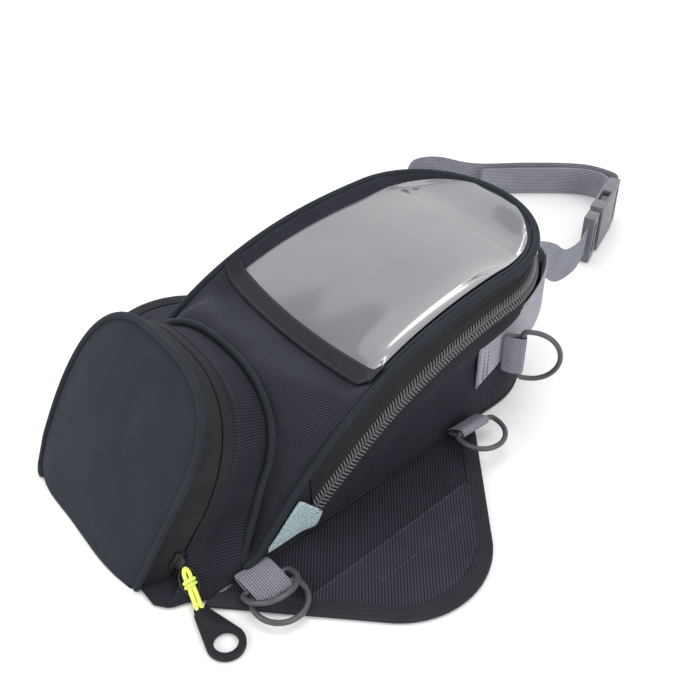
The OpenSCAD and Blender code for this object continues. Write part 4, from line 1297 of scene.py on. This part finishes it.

# %% [markdown]
# ## Straps and belt
# Flat webbing keeps its width and only bends and twists, so each strap is a ribbon along a smooth
# line, with its width kept near the vertical. The belt stands on its edge behind the bag, as it does
# in the photograph. The short strap is sewn to the bag at one end and to the buckle's plug at the
# other, so it rides on neither and stays where it is.


# %% Ribbon helper
def ribbon(name, line, width, finish, body, *nodes, thick=1.2, flip=False, upright=0):
    """Webbing along a line; its first rows can be cut upright instead of square."""
    n = len(line)
    table = []
    for i, p in enumerate(line):
        t = (line[min(i + 1, n - 1)] - line[max(i - 1, 0)]).normalized()
        out = Vector((0, 0, 1)).cross(t).normalized()
        up = t.cross(out)
        if upright:
            up = Vector((0, 0, 1 / up.z)).lerp(up, ease((i - upright) / 8))
        row = [p + up * w for w in spaced(-width / 2, width / 2, 10)]
        table.append(row[::-1] if flip else row)
    return sew(name, table, thick, finish, "grey_webbing", body, *nodes, offset=0.0, even=True)


print("ribbon helper ready")

# %% Side straps
STRAP_W, STRAP_OFF, CORNER_OFF, STRAP_FROM, STRAP_TURN = 36.0, 1.53, 13.0, 60.0, 52.5
LEFT_TURN, UPRIGHT_ROWS, END_MORE, END_THICK = 8, 7, 0.8, 2.6


def strap_z(y):
    return 51.0 + 0.44 * (y - STRAP_FROM)


def strap_line(turn_deg):
    """Along the straight side, then round the corner, where it rises and leaves the wall."""
    line = [side_point(side_station(1.0, y), strap_z(y), STRAP_OFF) for y in spaced(STRAP_FROM, ROUND_Y, 8)]
    for k in range(1, 15):
        e = ease(k / 14) * turn_deg / STRAP_TURN
        s = rear_station(math.radians(turn_deg) * k / 14)
        line.append(side_point(s, strap_z(ROUND_Y) + 20.5 * e, lerp(STRAP_OFF, CORNER_OFF, e)))
    return line


right_strap = strap_line(STRAP_TURN)
left_strap = [mirrored(-1, p) for p in strap_line(LEFT_TURN)]
straps = (("right", right_strap, True), ("left", left_strap, False))
for name, line, flip in straps:
    ribbon("webbing_side_strap_" + name, line, STRAP_W, strap_webbing, "bag", "side_strap_" + name,
           flip=flip, upright=UPRIGHT_ROWS)
for name, line, flip in straps:
    ribbon("strap_end_" + name, line[:2], STRAP_W + END_MORE, grey_webbing, "bag", thick=END_THICK,
           flip=flip, upright=UPRIGHT_ROWS)

# %% Strap seams
for side, name in SIDES:
    for y in (67.0, 71.0):
        heights = spaced(-17, 17, 20)
        seam = [side_point(side_station(side, y), strap_z(y) + h, STRAP_OFF + 0.6) for h in heights]
        stitches("strap_seam_" + name + "_" + str(round(y)), seam, grey_thread, "grey_webbing", "bag",
                 (side, 0, 0))

# %% [markdown]
# A web of cloth stands between the wall and the strap at the right rear corner and holds it out.

# %% Strap stay
STAY_TURN, STAY_UP, STAY_RISES = math.radians(47), 17, (-17, -11, -5, 1, 7, 13, 17)
stay_table = [[side_point(rear_station(STAY_TURN), strap_z(ROUND_Y) + STAY_UP + rise, off)
               for off in spaced(-0.5, 10.2, 4)] for rise in STAY_RISES]
sew("strap_stay", stay_table, 1.2, pack_cloth, "fabric", "bag", offset=0.0)

# %% Waist belt
BUCKLE_AT, BUCKLE_TURN, BELT_W, BELT_Z = Vector((-6, 283, 23)), math.radians(113.5), 28.0, 15.0
buckle_x = Vector((math.cos(BUCKLE_TURN), math.sin(BUCKLE_TURN), 0))
buckle_y = Vector((-math.sin(BUCKLE_TURN), math.cos(BUCKLE_TURN), 0))


def buckle_pt(x, y):
    return BUCKLE_AT + buckle_x * x + buckle_y * y


def past(line, d):
    """A point straight on beyond the end of a line."""
    return line[-1] + (line[-1] - line[-2]).normalized() * d


short_line = [past(right_strap, 0.4)] + smooth_line(
    [past(right_strap, 4), (38, 164, 77), (29, 190, 60), (20, 218, 38), (6, 256, 24), buckle_pt(-4, 0)], 6)
short_line += [buckle_pt(-0.4, 0)]
belt_line = [buckle_pt(80.4, 0)] + smooth_line(
    [buckle_pt(84, 0), (-54, 380, 20), (-92, 378, BELT_Z), (-127, 340, BELT_Z), (-160, 297, BELT_Z),
     (-193, 278, BELT_Z), (-202, 254, BELT_Z), (-176, 222, 19), (-128, 176, 38), (-93, 128, 52),
     past(left_strap, 4)], 6) + [past(left_strap, 0.4)]
tail_line = [buckle_pt(80.4, 3)] + smooth_line(
    [buckle_pt(84, 3), (-62, 370, 20), (-90, 366, BELT_Z), (-121, 330, BELT_Z), (-147, 294, BELT_Z)], 6)
short_strap = ribbon("webbing_short_strap", short_line, BELT_W, grey_webbing, None, "short_strap", flip=True)
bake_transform(short_strap)
ribbon("webbing_belt", belt_line, BELT_W, grey_webbing, "bag", "belt_strap")
ribbon("webbing_belt_tail", tail_line, BELT_W, grey_webbing, "bag", "belt_tail")

# %% [markdown]
# ## Moulded pieces
# Buckle, sliders and tab already have the right shape in the CAD model, but a real moulding has no
# sharp edge. Each is copied, its loose triangles are merged into whole faces, and its edges are
# rounded with a bevel.

# %% Moulded pieces
FACE_MERGE, FLAT_ANGLE, BEVEL_ANGLE, SMOOTH_ANGLE = 0.000002, 1, 35, 30


def eased_copy(node, name, radius):
    """A copy of a solid with its edges rounded."""
    piece = bpy.data.objects.new(name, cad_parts[node].data.copy())
    bpy.context.scene.collection.objects.link(piece)
    pick(piece)
    bpy.ops.object.mode_set(mode="EDIT")
    bpy.ops.mesh.select_all(action="SELECT")
    bpy.ops.mesh.remove_doubles(threshold=FACE_MERGE)
    bpy.ops.mesh.dissolve_limited(angle_limit=math.radians(FLAT_ANGLE))
    bpy.ops.object.mode_set(mode="OBJECT")
    edge = piece.modifiers.new("edge", "BEVEL")
    edge.width = radius * MM
    edge.segments = 3
    edge.limit_method = "ANGLE"
    edge.angle_limit = math.radians(BEVEL_ANGLE)
    bpy.ops.object.modifier_apply(modifier="edge")
    bpy.ops.object.shade_smooth_by_angle(angle=math.radians(SMOOTH_ANGLE))
    return piece


for node, body, finish, slot, radius in (
        ("buckle_socket", "bag", buckle_plastic, "buckle_plastic", 0.9),
        ("buckle_plug", "buckle_plug", buckle_plastic, "buckle_plastic", 0.7),
        ("prong_upper", "prong_upper", buckle_plastic, "buckle_plastic", 0.5),
        ("prong_lower", "prong_lower", buckle_plastic, "buckle_plastic", 0.5),
        ("pouch_slider", "pouch_slider", black_enamel, "black_metal", 0.6),
        ("main_slider", "main_slider", black_enamel, "black_metal", 0.6),
        ("main_pull", "main_pull", pull_rubber, "pull_rubber", 0.6),
        ("pull_tab", "pouch_pull", pull_rubber, "pull_rubber", 1.3)):
    dress(eased_copy(node, "moulded_" + node, radius), finish, slot, body, node)

# %% [markdown]
# ## Pull cord
# A neon cord ties the black tab to the pouch's slider. It is doubled: it comes out of the tab, goes
# through the slider's bow and back, and an overhand knot holds both strands together below the bow.
# So one tube follows the whole way there and back, and the knot is a short spiral round the two. The
# cord is only 28 mm long and always hangs from its slider, so it rides on the pull as one piece.

# %% Pull cord
EYE = Vector((76.213, -179.652, 15.954))
CORD_END = Vector((99.4, -184.652, 2.5))
STRAND_R, KNOT_R, KNOT_AT, KNOT_TURN, KNOT_STEPS = 1.4, 1.3, 0.3, 2 * math.pi * 1.5, 36
cord_dir = (CORD_END - EYE).normalized()
cord_side = Vector((0, 0, 1)).cross(cord_dir).normalized()
cord_top = cord_dir.cross(cord_side)


def strand(side):
    """One strand from the bow to the tab, beside the other and sagging a little."""
    shares = (0.06, 0.18, KNOT_AT, 0.5, 0.75, 1.0)
    gaps = (1.5, 1.7, 1.2, 1.5, 1.5, 1.4)
    return [EYE.lerp(CORD_END, f) + cord_side * side * g - Vector((0, 0, 5.0 * f * (1 - f)))
            for f, g in zip(shares, gaps)]


cord_line = smooth_line(strand(-1)[::-1] + [EYE - cord_dir * 0.6] + strand(1), 5)
sew("pull_cord_tube", tube_table(cord_line, STRAND_R), 0, neon_cord, "neon_cord", "pouch_pull", "pull_cord")
knot_mid = EYE.lerp(CORD_END, KNOT_AT) - Vector((0, 0, 1.0))
knot_line = [knot_mid + cord_dir * d + cord_side * 3.3 * math.cos(a) + cord_top * 2.5 * math.sin(a)
             for d, a in zip(spaced(-2.0, 2.0, KNOT_STEPS), arc(KNOT_TURN, KNOT_STEPS))]
sew("pull_cord_knot", tube_table(knot_line, KNOT_R, 8), 0, neon_cord, "neon_cord", "pouch_pull")

# %% [markdown]
# A loop of thin wire hangs in the slider's bow, and a rubber sleeve, pressed half flat, covers the
# place where the cord enters the tab.

# %% Slider loop and tab sleeve
LOOP_WIRE, SLEEVE_Z = 0.55, 2.4
SLEEVE = ((-1.2, 3.9), (0.0, 4.6), (2.0, 4.9), (6.0, 5.2), (10.0, 5.4), (13.0, 4.6), (15.0, 3.0))
loop_mid = EYE + cord_dir * 6.5 - Vector((0, 0, 1.2))
loop_line = [loop_mid + cord_dir * 9.0 * math.cos(a) + cord_side * 5.6 * math.sin(a) - cord_top * 0.8
             for a in arc(2 * math.pi, 32)[:-1]]
loop_table = tube_table(loop_line, LOOP_WIRE, 6, closed=True)
sew("slider_loop", loop_table, 0, black_enamel, "black_metal", "pouch_pull")
sleeve_line = [CORD_END + Vector((d, 0, -0.1)) for d, _ in SLEEVE]
sleeve_tube = tube_table(sleeve_line, [r for _, r in SLEEVE], 16)
sleeve_table = [[Vector((q.x, q.y, SLEEVE_Z + (q.z - SLEEVE_Z) * 0.5)) for q in row] for row in sleeve_tube]
sew("tab_sleeve", sleeve_table, 0, pull_rubber, "pull_rubber", "pouch_pull")

# %% [markdown]
# ## Hidden pieces
# The stiffener board and the magnets are inside, so they keep their solids and only get a finish.

# %% Hidden pieces
for node, finish in (("base_board", stiff_board), ("wing_magnets_right", magnet_plate),
                     ("wing_magnets_left", magnet_plate)):
    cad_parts[node].data.materials.clear()
    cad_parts[node].data.materials.append(finish)
print("hidden pieces finished")
